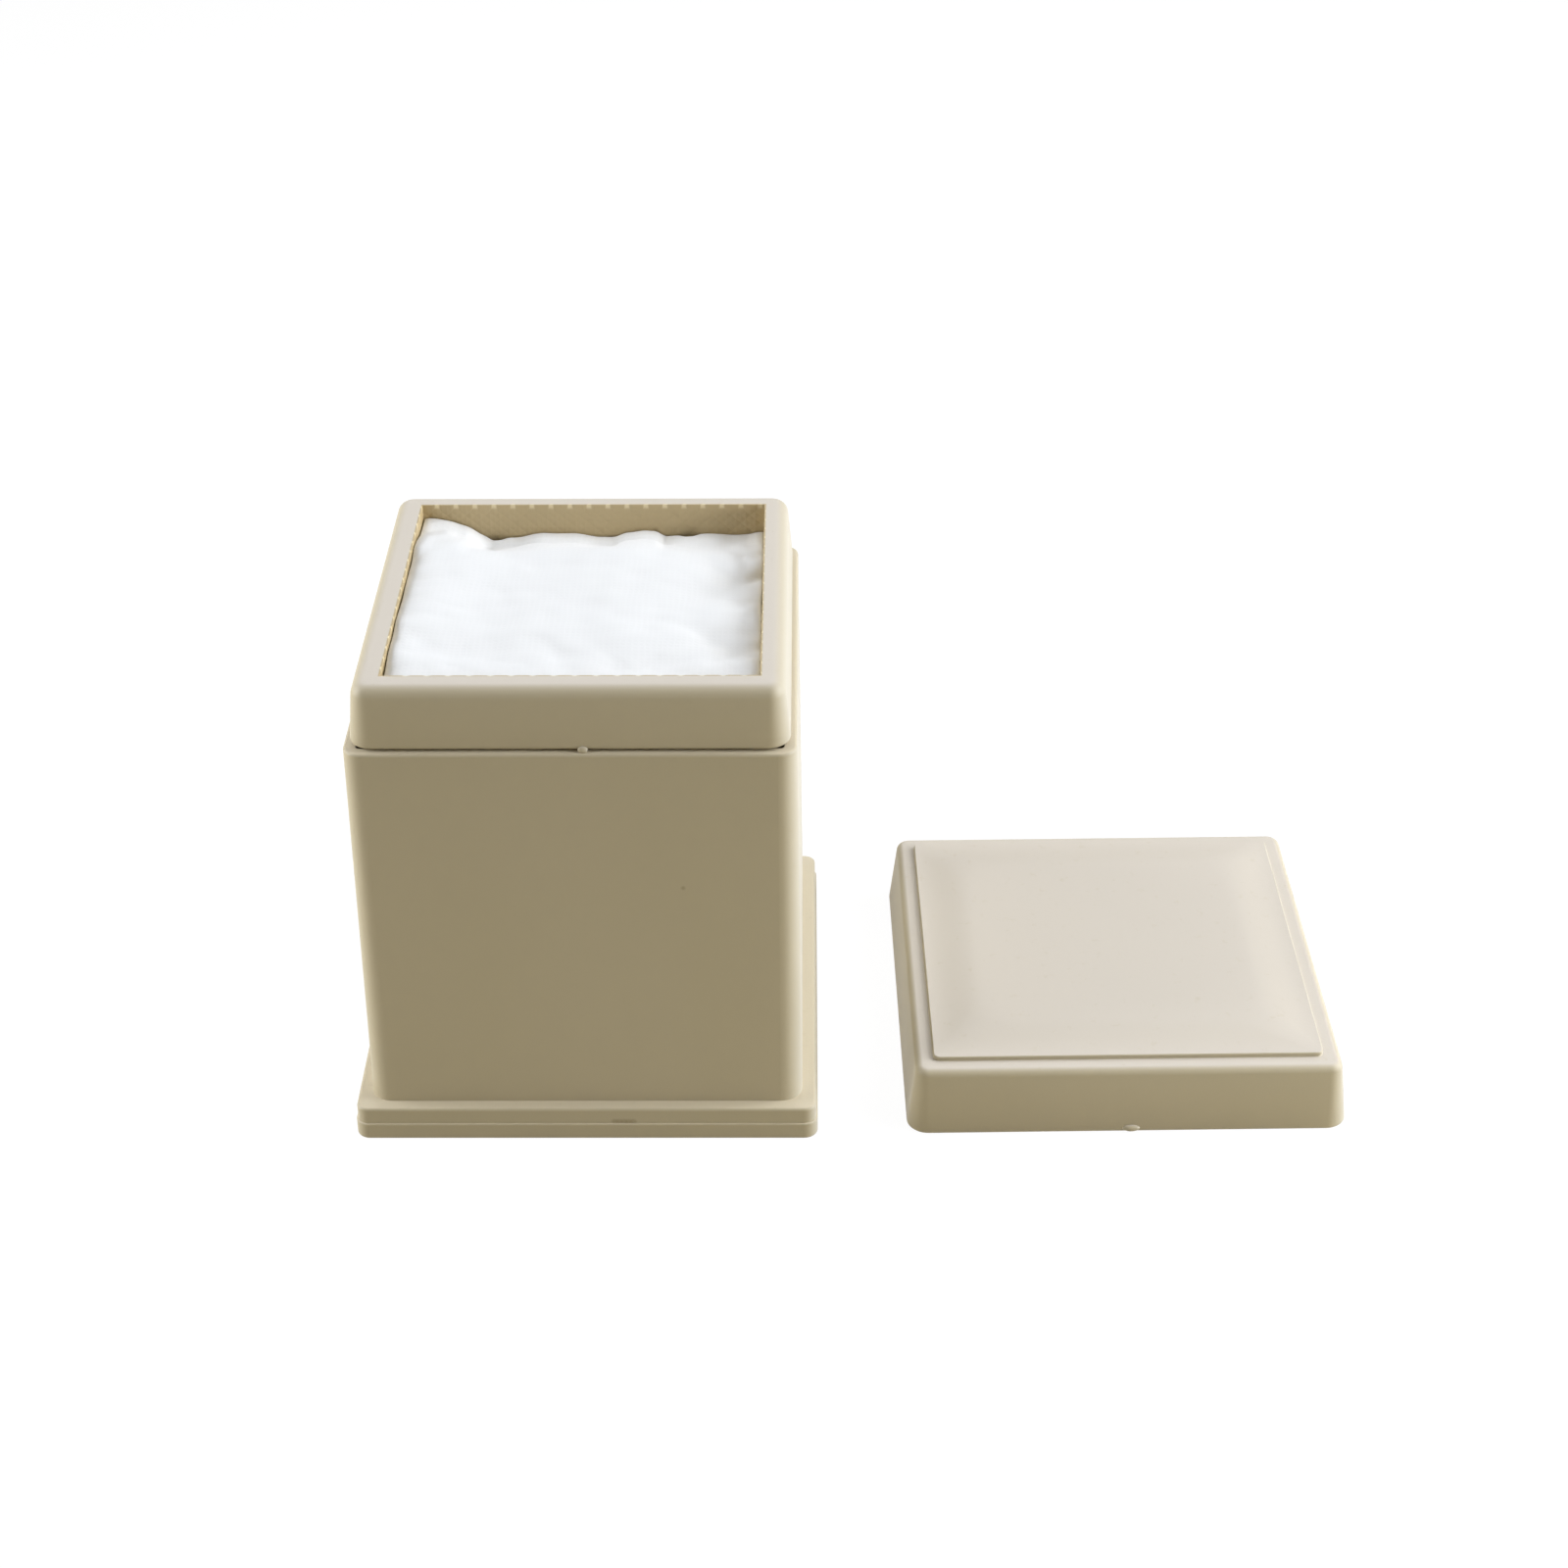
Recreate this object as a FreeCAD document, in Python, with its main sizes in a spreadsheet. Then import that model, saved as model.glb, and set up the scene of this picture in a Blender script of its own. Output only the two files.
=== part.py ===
import FreeCAD, Part
import Sketcher
import math
import os

# Spring-fed dispenser for two-inch gauze sponges, with its lid lying beside it.
# Millimetres. The origin is the centre of the dispenser's foot, on the table, and +Z is up.
# The front is -Y. Every piece is modelled about its own origin and placed by its Placement.

V = FreeCAD.Vector

SIZES = {
    # housing: a square tube with the upper layer of the foot flange
    "housing_height": 63.4,
    "ledge_width": 0.9,
    "body_draft": 0.6,
    "body_corner": 3.3,
    "body_wall": 1.8,
    "bore_corner": 1.2,
    "ledge_round": 0.4,
    "flange_reach": 2.05,
    "flange_corner": 1.8,
    "flange_thickness": 2.65,
    "flange_round": 0.4,
    # guide ribs in the housing, two on each wall
    "rib_width": 1.6,
    "rib_offset": 15.0,
    "rib_foot": 6.0,
    "rib_headroom": 0.6,
    "guide_clearance": 0.5,
    # base plate: the lower layer of the foot flange, snapped in from below
    "plate_thickness": 2.8,
    "plate_step": 0.25,
    "plate_round": 0.35,
    "rim_height": 3.6,
    "rim_wall": 1.4,
    "rim_clearance": 0.25,
    "hook_width": 8.0,
    "hook_height": 9.0,
    "barb_reach": 0.6,
    "barb_height": 1.6,
    "hook_play": 0.3,
    # collar: the frame on the ledge, with toothed inner walls and a guide sleeve
    "collar_height": 9.7,
    "collar_frame": 4.6,
    "collar_draft": 0.8,
    "collar_corner": 3.2,
    "collar_round": 2.0,
    "collar_wall": 1.2,
    "collar_web": 1.8,
    "sleeve_wall": 1.4,
    "sleeve_depth": 5.0,
    "lug_width": 1.6,
    "lug_offset": 20.0,
    "lug_clearance": 0.2,
    "teeth_per_side": 19,
    "tooth_depth": 0.7,
    "tooth_root": 0.3,
    # gauze sponges: two-inch squares, folded flat
    "sponge_width": 50.8,
    "sponge_clearance": 0.4,
    "sponge_thickness": 2.2,
    "sponge_edge": 0.9,
    "stack_count": 17,
    "stack_drop": 8.0,
    "top_sponge_gap": 0.3,
    "top_sponge_edge": 2.0,
    "top_sponge_crown": 3.9,
    "top_sponge_curl": 5.6,
    "top_sponge_inset": 0.5,
    # follower: the plate that pushes the stack up
    "follower_thickness": 1.8,
    "follower_corner": 2.0,
    "follower_skirt": 9.0,
    "follower_wall": 1.4,
    # spring and the round seats that centre its ends
    "wire": 1.2,
    "coil_radius": 17.5,
    "spring_turns": 8.5,
    "end_pitch": 1.7,
    "spring_gap": 0.15,
    "seat_clearance": 0.5,
    "seat_wall": 1.3,
    "seat_height": 4.0,
    # lid: a cap that fits over the collar, with a raised pillow panel
    "lid_wall": 1.85,
    "lid_draft": 1.25,
    "lid_top": 1.4,
    "lid_corner": 3.2,
    "lid_round": 1.2,
    "lid_rim_gap": 0.3,
    "lid_clearance": 0.4,
    "cavity_corner": 2.2,
    "panel_margin": 2.7,
    "panel_corner": 1.0,
    "panel_step": 0.7,
    "pillow_slope": 8.2,
    "pillow_corner": 4.0,
    "pillow_rise": 0.8,
    "lid_distance": 12.95,
    "lid_y": 0.15,
    "lid_turn": 1.09,
    # gate marks: small wedges left at the front edges by moulding
    "collar_gate_width": 1.6,
    "collar_gate_height": 1.2,
    "lid_gate_width": 2.6,
    "lid_gate_height": 1.2,
    "gate_reach": 0.5,
}

# Levels and widths that follow from the sizes, as expressions
WINDOW_WIDTH = "(Sizes.sponge_width + 2 * (Sizes.sponge_clearance + Sizes.tooth_depth))"
COLLAR_FOOT_WIDTH = f"({WINDOW_WIDTH} + 2 * Sizes.collar_frame)"
COLLAR_TOP_WIDTH = f"({COLLAR_FOOT_WIDTH} - 2 * Sizes.collar_draft)"
BODY_TOP_WIDTH = f"({COLLAR_FOOT_WIDTH} + 2 * Sizes.ledge_width)"
BODY_FOOT_WIDTH = f"({BODY_TOP_WIDTH} + 2 * Sizes.body_draft)"
FLANGE_WIDTH = f"({BODY_FOOT_WIDTH} + 2 * Sizes.flange_reach)"
PLATE_WIDTH = f"({FLANGE_WIDTH} + 2 * Sizes.plate_step)"
LID_FOOT_WIDTH = f"({COLLAR_FOOT_WIDTH} + 2 * (Sizes.lid_clearance + Sizes.lid_wall))"
LID_TOP_WIDTH = f"({LID_FOOT_WIDTH} - 2 * Sizes.lid_draft)"
LID_DEPTH = "(Sizes.collar_height - Sizes.lid_rim_gap)"
LID_HEIGHT = f"({LID_DEPTH} + Sizes.lid_top)"
LID_X = f"({PLATE_WIDTH} / 2 + Sizes.lid_distance + {LID_FOOT_WIDTH} / 2)"
PANEL_WIDTH = f"({LID_TOP_WIDTH} - 2 * Sizes.panel_margin)"
PILLOW_WIDTH = f"({PANEL_WIDTH} - 2 * Sizes.pillow_slope)"
LEDGE = "(Sizes.plate_thickness + Sizes.housing_height)"
RIM = f"({LEDGE} + Sizes.collar_height)"
STACK_TOP = f"({RIM} - Sizes.stack_drop)"
FOLLOWER_TOP = f"({STACK_TOP} - Sizes.stack_count * Sizes.sponge_thickness)"
SPRING_FOOT = "(Sizes.plate_thickness + Sizes.spring_gap)"
SPRING_HEAD = f"({FOLLOWER_TOP} - Sizes.follower_thickness - Sizes.spring_gap)"
BORE_TOP_WIDTH = f"({BODY_TOP_WIDTH} - 2 * Sizes.body_wall)"
BORE_FOOT_WIDTH = f"({BODY_FOOT_WIDTH} - 2 * Sizes.body_wall)"
GUIDE_HALF = "(Sizes.sponge_width / 2 + Sizes.guide_clearance)"
RIM_OUTER_WIDTH = f"({BORE_FOOT_WIDTH} - 2 * Sizes.rim_clearance)"
SLEEVE_WIDTH = f"({WINDOW_WIDTH} + 2 * Sizes.sleeve_wall)"
TOOTH_PITCH = f"({WINDOW_WIDTH} / Sizes.teeth_per_side)"
SEAT_RADIUS = "(Sizes.coil_radius - Sizes.wire / 2 - Sizes.seat_clearance)"
CAVITY_FOOT_WIDTH = f"({COLLAR_FOOT_WIDTH} + 2 * Sizes.lid_clearance)"
CAVITY_TOP_WIDTH = f"({COLLAR_TOP_WIDTH} + 2 * Sizes.lid_clearance)"

doc = FreeCAD.newDocument("gauze_sponge_dispenser")
sheet = doc.addObject("Spreadsheet::Sheet", "Sizes")
for row, (alias, number) in enumerate(SIZES.items(), start=1):
    sheet.set(f"A{row}", alias.replace("_", " "))
    sheet.set(f"B{row}", str(number))
    sheet.setAlias(f"B{row}", alias)
doc.recompute()

pieces = []


def value_of(expression):
    """The number that an expression on the sheet comes to."""
    return float(sheet.evalExpression(expression))


def new_body(label, level="0"):
    """A body whose origin stands at the given level."""
    body = doc.addObject("PartDesign::Body", label)
    body.Label = label
    body.setExpression("Placement.Base.z", level)
    pieces.append(body)
    return body


def origin_feature(body, role):
    """One of the body's own origin planes or axes."""
    for feature in body.Origin.OriginFeatures:
        if feature.Role == role:
            return feature
    raise RuntimeError(f"{body.Label} has no {role}")


def new_sketch(body, name, level="0", plane="XY_Plane"):
    """An empty sketch on an origin plane, raised to the given level."""
    sketch = body.newObject("Sketcher::SketchObject", f"{body.Label}_{name}")
    sketch.AttachmentSupport = [(origin_feature(body, plane), "")]
    sketch.MapMode = "FlatFace"
    sketch.setExpression("AttachmentOffset.Base.z", level)
    return sketch


def drive(sketch, kind, *where, by):
    """A distance or radius constraint driven by an expression."""
    index = sketch.addConstraint(Sketcher.Constraint(kind, *where, value_of(by)))
    sketch.setExpression(f"Constraints[{index}]", by)


def draw_rounded_square(sketch, width, corner):
    """A square centred on the sketch's origin, with equal round corners."""
    half = value_of(width) / 2
    radius = value_of(corner)
    flat = half - radius
    first = sketch.GeometryCount
    for side in range(4):
        turn = FreeCAD.Rotation(V(0, 0, 1), 90 * side)
        start = turn.multVec(V(-flat, -half, 0))
        end = turn.multVec(V(flat, -half, 0))
        sketch.addGeometry(Part.LineSegment(start, end), False)
    for side in range(4):
        centre = FreeCAD.Rotation(V(0, 0, 1), 90 * side).multVec(V(flat, -flat, 0))
        circle = Part.Circle(centre, V(0, 0, 1), radius)
        begin = math.radians(-90 + 90 * side)
        sketch.addGeometry(Part.ArcOfCircle(circle, begin, begin + math.pi / 2), False)
    for side in range(4):
        line = first + side
        arc = first + 4 + side
        following = first + (side + 1) % 4
        sketch.addConstraint(Sketcher.Constraint("Tangent", line, 2, arc, 1))
        sketch.addConstraint(Sketcher.Constraint("Tangent", arc, 2, following, 1))
        direction = "Horizontal" if side % 2 == 0 else "Vertical"
        sketch.addConstraint(Sketcher.Constraint(direction, line))
    for side in range(1, 4):
        sketch.addConstraint(Sketcher.Constraint("Equal", first + 4, first + 4 + side))
    drive(sketch, "Radius", first + 4, by=corner)
    drive(sketch, "DistanceY", first, 1, -1, 1, by=f"{width} / 2")
    drive(sketch, "DistanceX", -1, 1, first + 1, 1, by=f"{width} / 2")
    drive(sketch, "DistanceY", -1, 1, first + 2, 1, by=f"{width} / 2")
    drive(sketch, "DistanceX", first + 3, 1, -1, 1, by=f"{width} / 2")


def draw_polygon(sketch, corners):
    """A closed polygon whose corners are pairs of expressions."""
    first = sketch.GeometryCount
    points = [V(value_of(x), value_of(y), 0) for x, y in corners]
    count = len(points)
    for index in range(count):
        line = Part.LineSegment(points[index], points[(index + 1) % count])
        sketch.addGeometry(line, False)
    for index in range(count):
        following = first + (index + 1) % count
        sketch.addConstraint(Sketcher.Constraint("Coincident", first + index, 2, following, 1))
    for index, (x, y) in enumerate(corners):
        place_point(sketch, first + index, x, "X")
        place_point(sketch, first + index, y, "Y")


def place_point(sketch, line, coordinate, letter):
    """Tie the start of a line to the origin along one axis, on either side of it."""
    if value_of(coordinate) >= 0:
        drive(sketch, f"Distance{letter}", -1, 1, line, 1, by=coordinate)
    else:
        drive(sketch, f"Distance{letter}", line, 1, -1, 1, by=f"-({coordinate})")


def draw_box(sketch, x_low, x_high, y_low, y_high):
    """A rectangle between four coordinates, given as expressions."""
    draw_polygon(sketch, [(x_low, y_low), (x_high, y_low), (x_high, y_high), (x_low, y_high)])


def draw_circle(sketch, radius):
    """A circle round the sketch's origin."""
    circle = Part.Circle(V(0, 0, 0), V(0, 0, 1), value_of(radius))
    index = sketch.addGeometry(circle, False)
    sketch.addConstraint(Sketcher.Constraint("Coincident", index, 3, -1, 1))
    drive(sketch, "Radius", index, by=radius)


def extrude(body, kind, sketch, length, down=False, midplane=False):
    """A Pad or Pocket whose effect on the volume is checked."""
    before = body.Shape.Volume if body.Tip else 0.0
    feature = body.newObject(f"PartDesign::{kind}", f"{sketch.Name}_{kind.lower()}")
    feature.Profile = sketch
    feature.setExpression("Length", length)
    feature.Reversed = down
    if midplane:
        feature.SideType = "Symmetric"
    return checked(body, feature, before, grows=(kind == "Pad"))


def checked(body, feature, before, grows):
    """Recompute, and stop if the feature didn't change the volume the right way."""
    doc.recompute()
    after = body.Shape.Volume
    if (after <= before) if grows else (after >= before):
        raise RuntimeError(f"{feature.Name} left the volume at {after} from {before}")
    return feature


def taper(body, kind, name, level, foot_width, corner, head_width, height):
    """A square Pad or Pocket with round corners that narrows upwards from its foot."""
    sketch = new_sketch(body, name, level)
    draw_rounded_square(sketch, foot_width, corner)
    feature = extrude(body, kind, sketch, height, down=(kind == "Pocket"))
    lean = f"-atan(({foot_width} - {head_width}) / 2 / ({height}))"
    feature.setExpression("TaperAngle", lean)
    doc.recompute()
    return feature


def add_frustum(body, name, level, foot_width, foot_corner, head_width, head_corner, height):
    """A ruled loft between two rounded squares of different corner."""
    before = body.Shape.Volume
    lower = new_sketch(body, f"{name}_foot", level)
    draw_rounded_square(lower, foot_width, foot_corner)
    upper = new_sketch(body, f"{name}_head", f"{level} + {height}")
    draw_rounded_square(upper, head_width, head_corner)
    feature = body.newObject("PartDesign::AdditiveLoft", f"{body.Label}_{name}")
    feature.Profile = lower
    feature.Sections = [(upper, [""])]
    feature.Ruled = True
    return checked(body, feature, before, grows=True)


def repeat_on_four_sides(body, feature):
    """Copy a feature to all four walls."""
    before = body.Shape.Volume
    grows = feature.isDerivedFrom("PartDesign::Pad")
    pattern = body.newObject("PartDesign::PolarPattern", f"{feature.Name}_round")
    pattern.Originals = [feature]
    pattern.Axis = (origin_feature(body, "Z_Axis"), [""])
    pattern.Angle = 360
    pattern.Occurrences = 4
    body.Tip = pattern
    return checked(body, pattern, before, grows)


def round_edges(body, name, radius, chosen):
    """Round the edges of the tip that the test picks out."""
    before = body.Shape.Volume
    base = body.Tip
    edges = enumerate(base.Shape.Edges, start=1)
    names = [f"Edge{index}" for index, edge in edges if chosen(edge)]
    if not names:
        raise RuntimeError(f"{body.Label} has no edges for {name}")
    feature = body.newObject("PartDesign::Fillet", f"{body.Label}_{name}")
    feature.Base = (base, names)
    feature.setExpression("Radius", radius)
    return checked(body, feature, before, grows=False)


def outline_at(level, width):
    """A test for the edges that lie at a level on a square outline of that width."""
    height = value_of(level)
    reach = value_of(width) / 2
    slack = 0.01

    def chosen(edge):
        box = edge.BoundBox
        flat = abs(box.ZMin - height) < slack and abs(box.ZMax - height) < slack
        furthest = max(abs(box.XMin), abs(box.XMax), abs(box.YMin), abs(box.YMax))
        return flat and abs(furthest - reach) < slack

    return chosen


def add_gate_mark(body, name, wall_half, width, height):
    """The small wedge that the mould's gate leaves at the middle of the front edge."""
    sketch = new_sketch(body, name, plane="YZ_Plane")
    inside = f"-({wall_half} - Sizes.gate_reach)"
    outside = f"-({wall_half} + Sizes.gate_reach)"
    draw_polygon(sketch, [(inside, "0"), (inside, height), (outside, "0")])
    return extrude(body, "Pad", sketch, width, midplane=True)


def make_housing():
    """Square tube, wider at the foot, with a flange, guide ribs and hook recesses."""
    body = new_body("housing", "Sizes.plate_thickness")
    flange = new_sketch(body, "flange")
    draw_rounded_square(flange, FLANGE_WIDTH, "Sizes.flange_corner")
    extrude(body, "Pad", flange, "Sizes.flange_thickness")
    taper(
        body, "Pad", "wall", "0",
        BODY_FOOT_WIDTH, "Sizes.body_corner",
        BODY_TOP_WIDTH, "Sizes.housing_height",
    )
    round_edges(
        body, "flange_round", "Sizes.flange_round",
        outline_at("Sizes.flange_thickness", FLANGE_WIDTH),
    )
    round_edges(
        body, "ledge_round", "Sizes.ledge_round",
        outline_at("Sizes.housing_height", BODY_TOP_WIDTH),
    )
    taper(
        body, "Pocket", "bore", "0",
        BORE_FOOT_WIDTH, "Sizes.bore_corner",
        BORE_TOP_WIDTH, "Sizes.housing_height",
    )

    ribs = new_sketch(body, "ribs", "Sizes.rib_foot")
    rib_back = f"{BORE_FOOT_WIDTH} / 2 + Sizes.body_wall / 3"
    near = "(Sizes.rib_offset - Sizes.rib_width / 2)"
    far = "(Sizes.rib_offset + Sizes.rib_width / 2)"
    draw_box(ribs, GUIDE_HALF, rib_back, near, far)
    draw_box(ribs, GUIDE_HALF, rib_back, f"-{far}", f"-{near}")
    rib_length = "Sizes.housing_height - Sizes.sleeve_depth - Sizes.rib_headroom - Sizes.rib_foot"
    repeat_on_four_sides(body, extrude(body, "Pad", ribs, rib_length))

    # The recess starts a little below the barb and ends a little above it
    recess_floor = "Sizes.hook_height - Sizes.barb_height - Sizes.hook_play"
    recess = new_sketch(body, "recess", recess_floor)
    depth = f"{RIM_OUTER_WIDTH} / 2 + Sizes.barb_reach + Sizes.hook_play"
    half_width = "(Sizes.hook_width / 2 + Sizes.hook_play)"
    draw_box(recess, f"{BORE_TOP_WIDTH} / 2 - Sizes.hook_play", depth, f"-{half_width}", half_width)
    opening = extrude(body, "Pocket", recess, "Sizes.barb_height + 2 * Sizes.hook_play", down=True)
    repeat_on_four_sides(body, opening)


def add_spring_seat(body, name, level, down):
    """Round spigot that centres one end of the spring."""
    seat = new_sketch(body, name, level)
    draw_circle(seat, SEAT_RADIUS)
    draw_circle(seat, f"{SEAT_RADIUS} - Sizes.seat_wall")
    extrude(body, "Pad", seat, "Sizes.seat_height", down=down)


def make_base_plate():
    """Plate a little wider than the flange, with a rim, four snap hooks and the spring seat."""
    body = new_body("base_plate")
    plate = new_sketch(body, "plate")
    draw_rounded_square(plate, PLATE_WIDTH, "(Sizes.flange_corner + Sizes.plate_step)")
    extrude(body, "Pad", plate, "Sizes.plate_thickness")
    round_edges(body, "foot_round", "Sizes.plate_round", outline_at("0", PLATE_WIDTH))
    round_edges(
        body, "seam_round", "Sizes.plate_step",
        outline_at("Sizes.plate_thickness", PLATE_WIDTH),
    )

    rim = new_sketch(body, "rim", "Sizes.plate_thickness")
    draw_rounded_square(rim, RIM_OUTER_WIDTH, "Sizes.bore_corner")
    draw_rounded_square(rim, f"({RIM_OUTER_WIDTH} - 2 * Sizes.rim_wall)", "Sizes.bore_corner")
    extrude(body, "Pad", rim, "Sizes.rim_height")

    hook = new_sketch(body, "hook", "Sizes.plate_thickness")
    hook_face = f"{RIM_OUTER_WIDTH} / 2"
    half_width = "Sizes.hook_width / 2"
    draw_box(hook, f"{hook_face} - Sizes.rim_wall", hook_face, f"-{half_width}", half_width)
    repeat_on_four_sides(body, extrude(body, "Pad", hook, "Sizes.hook_height"))

    barb = new_sketch(body, "barb", plane="XZ_Plane")
    barb_top = "(Sizes.plate_thickness + Sizes.hook_height)"
    barb_foot = f"({barb_top} - Sizes.barb_height)"
    inside = f"{hook_face} - Sizes.rim_wall / 2"
    barb_tip = f"{hook_face} + Sizes.barb_reach"
    draw_polygon(
        barb,
        [(inside, barb_foot), (barb_tip, barb_foot), (hook_face, barb_top), (inside, barb_top)],
    )
    repeat_on_four_sides(body, extrude(body, "Pad", barb, "Sizes.hook_width", midplane=True))
    add_spring_seat(body, "seat", "Sizes.plate_thickness", down=False)


def make_collar():
    """Frame that stands on the ledge, with a sleeve in the housing and a toothed window."""
    body = new_body("collar", LEDGE)
    taper(
        body, "Pad", "frame", "0",
        COLLAR_FOOT_WIDTH, "Sizes.collar_corner",
        COLLAR_TOP_WIDTH, "Sizes.collar_height",
    )
    round_edges(
        body, "rim_round", "Sizes.collar_round",
        outline_at("Sizes.collar_height", COLLAR_TOP_WIDTH),
    )
    add_gate_mark(
        body, "gate", f"{COLLAR_FOOT_WIDTH} / 2",
        "Sizes.collar_gate_width", "Sizes.collar_gate_height",
    )

    core = new_sketch(body, "core")
    core_width = f"({COLLAR_TOP_WIDTH} - 2 * Sizes.collar_wall)"
    draw_rounded_square(core, core_width, "Sizes.bore_corner")
    draw_rounded_square(core, SLEEVE_WIDTH, "Sizes.bore_corner")
    extrude(body, "Pocket", core, "Sizes.collar_height - Sizes.collar_web", down=True)

    sleeve = new_sketch(body, "sleeve")
    draw_rounded_square(sleeve, SLEEVE_WIDTH, "Sizes.bore_corner")
    extrude(body, "Pad", sleeve, "Sizes.sleeve_depth", down=True)

    lugs = new_sketch(body, "lugs")
    lug_root = f"{SLEEVE_WIDTH} / 2 - Sizes.sleeve_wall / 2"
    lug_tip = f"{BORE_TOP_WIDTH} / 2 - Sizes.lug_clearance"
    near = "(Sizes.lug_offset - Sizes.lug_width / 2)"
    far = "(Sizes.lug_offset + Sizes.lug_width / 2)"
    draw_box(lugs, lug_root, lug_tip, near, far)
    draw_box(lugs, lug_root, lug_tip, f"-{far}", f"-{near}")
    repeat_on_four_sides(body, extrude(body, "Pad", lugs, "Sizes.sleeve_depth", down=True))

    window = new_sketch(body, "window", "Sizes.collar_height")
    half = f"{WINDOW_WIDTH} / 2"
    draw_box(window, f"-{half}", half, f"-{half}", half)
    extrude(body, "Pocket", window, "Sizes.collar_height + Sizes.sleeve_depth")
    add_teeth(body)


def add_teeth(body):
    """Upright teeth on all four window walls, which hold the sponges by their edges."""
    before = body.Shape.Volume
    tooth = new_sketch(body, "tooth", "-Sizes.sleeve_depth")
    wall = f"{WINDOW_WIDTH} / 2"
    last = f"({wall} - {TOOTH_PITCH} / 2)"
    draw_polygon(
        tooth,
        [
            (f"{wall} + Sizes.tooth_root", f"{last} - {TOOTH_PITCH} / 2"),
            (f"{wall} + Sizes.tooth_root", f"{last} + {TOOTH_PITCH} / 2"),
            (wall, f"{last} + {TOOTH_PITCH} / 2"),
            (f"{wall} - Sizes.tooth_depth", last),
            (wall, f"{last} - {TOOTH_PITCH} / 2"),
        ],
    )
    height = "Sizes.collar_height + Sizes.sleeve_depth"
    first = extrude(body, "Pad", tooth, height)
    pattern = body.newObject("PartDesign::MultiTransform", "collar_teeth")
    pattern.Originals = [first]
    row = body.newObject("PartDesign::LinearPattern", "collar_teeth_row")
    row.Direction = (origin_feature(body, "Y_Axis"), [""])
    row.Reversed = True
    row.setExpression("Occurrences", "Sizes.teeth_per_side")
    row.setExpression("Length", f"(Sizes.teeth_per_side - 1) * {TOOTH_PITCH}")
    walls = body.newObject("PartDesign::PolarPattern", "collar_teeth_walls")
    walls.Axis = (origin_feature(body, "Z_Axis"), [""])
    walls.Angle = 360
    walls.Occurrences = 4
    pattern.Transformations = [row, walls]
    body.Tip = pattern
    checked(body, pattern, before, grows=True)


def make_lid():
    """Cap whose cavity clears the collar, with a stepped pillow panel on top."""
    body = new_body("lid")
    body.setExpression("Placement.Base.x", LID_X)
    body.setExpression("Placement.Base.y", "Sizes.lid_y")
    body.setExpression("Placement.Rotation.Angle", "Sizes.lid_turn")
    taper(
        body, "Pad", "shell", "0",
        LID_FOOT_WIDTH, "Sizes.lid_corner",
        LID_TOP_WIDTH, LID_HEIGHT,
    )
    round_edges(
        body, "top_round", "Sizes.lid_round",
        outline_at(LID_HEIGHT, LID_TOP_WIDTH),
    )
    add_gate_mark(
        body, "gate", f"{LID_FOOT_WIDTH} / 2",
        "Sizes.lid_gate_width", "Sizes.lid_gate_height",
    )
    taper(
        body, "Pocket", "cavity", "0",
        CAVITY_FOOT_WIDTH, "Sizes.cavity_corner",
        CAVITY_TOP_WIDTH, LID_DEPTH,
    )
    panel = new_sketch(body, "panel", LID_HEIGHT)
    draw_rounded_square(panel, PANEL_WIDTH, "Sizes.panel_corner")
    extrude(body, "Pad", panel, "Sizes.panel_step")
    add_frustum(
        body, "pillow", f"{LID_HEIGHT} + Sizes.panel_step",
        PANEL_WIDTH, "Sizes.panel_corner",
        PILLOW_WIDTH, "Sizes.pillow_corner", "Sizes.pillow_rise",
    )


def make_follower():
    """Square plate under the stack, with a guide skirt and the upper spring seat."""
    body = new_body("follower", FOLLOWER_TOP)
    plate = new_sketch(body, "plate")
    draw_rounded_square(plate, "Sizes.sponge_width", "Sizes.follower_corner")
    extrude(body, "Pad", plate, "Sizes.follower_thickness", down=True)
    skirt = new_sketch(body, "skirt")
    draw_rounded_square(skirt, "Sizes.sponge_width", "Sizes.follower_corner")
    inner_width = "(Sizes.sponge_width - 2 * Sizes.follower_wall)"
    draw_rounded_square(skirt, inner_width, "Sizes.follower_corner")
    extrude(body, "Pad", skirt, "Sizes.follower_skirt", down=True)
    add_spring_seat(body, "seat", "-Sizes.follower_thickness", down=True)


def make_stack():
    """The folded sponges under the top one, each with rounded fold edges."""
    for index in range(int(value_of("Sizes.stack_count"))):
        level = f"{STACK_TOP} - {index + 1} * Sizes.sponge_thickness"
        body = new_body(f"sponge_{index + 2:02d}", level)
        profile = new_sketch(body, "profile", "-Sizes.sponge_width / 2", plane="XZ_Plane")
        half = "Sizes.sponge_width / 2"
        draw_box(profile, f"-{half}", half, "0", "Sizes.sponge_thickness")
        extrude(body, "Pad", profile, "Sizes.sponge_width")
        round_edges(body, "folds", "Sizes.sponge_edge", is_fold_edge)


def is_fold_edge(edge):
    """The long edges of a sponge's two folded sides."""
    box = edge.BoundBox
    return box.YLength > 1 and box.XLength < 0.01


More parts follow.
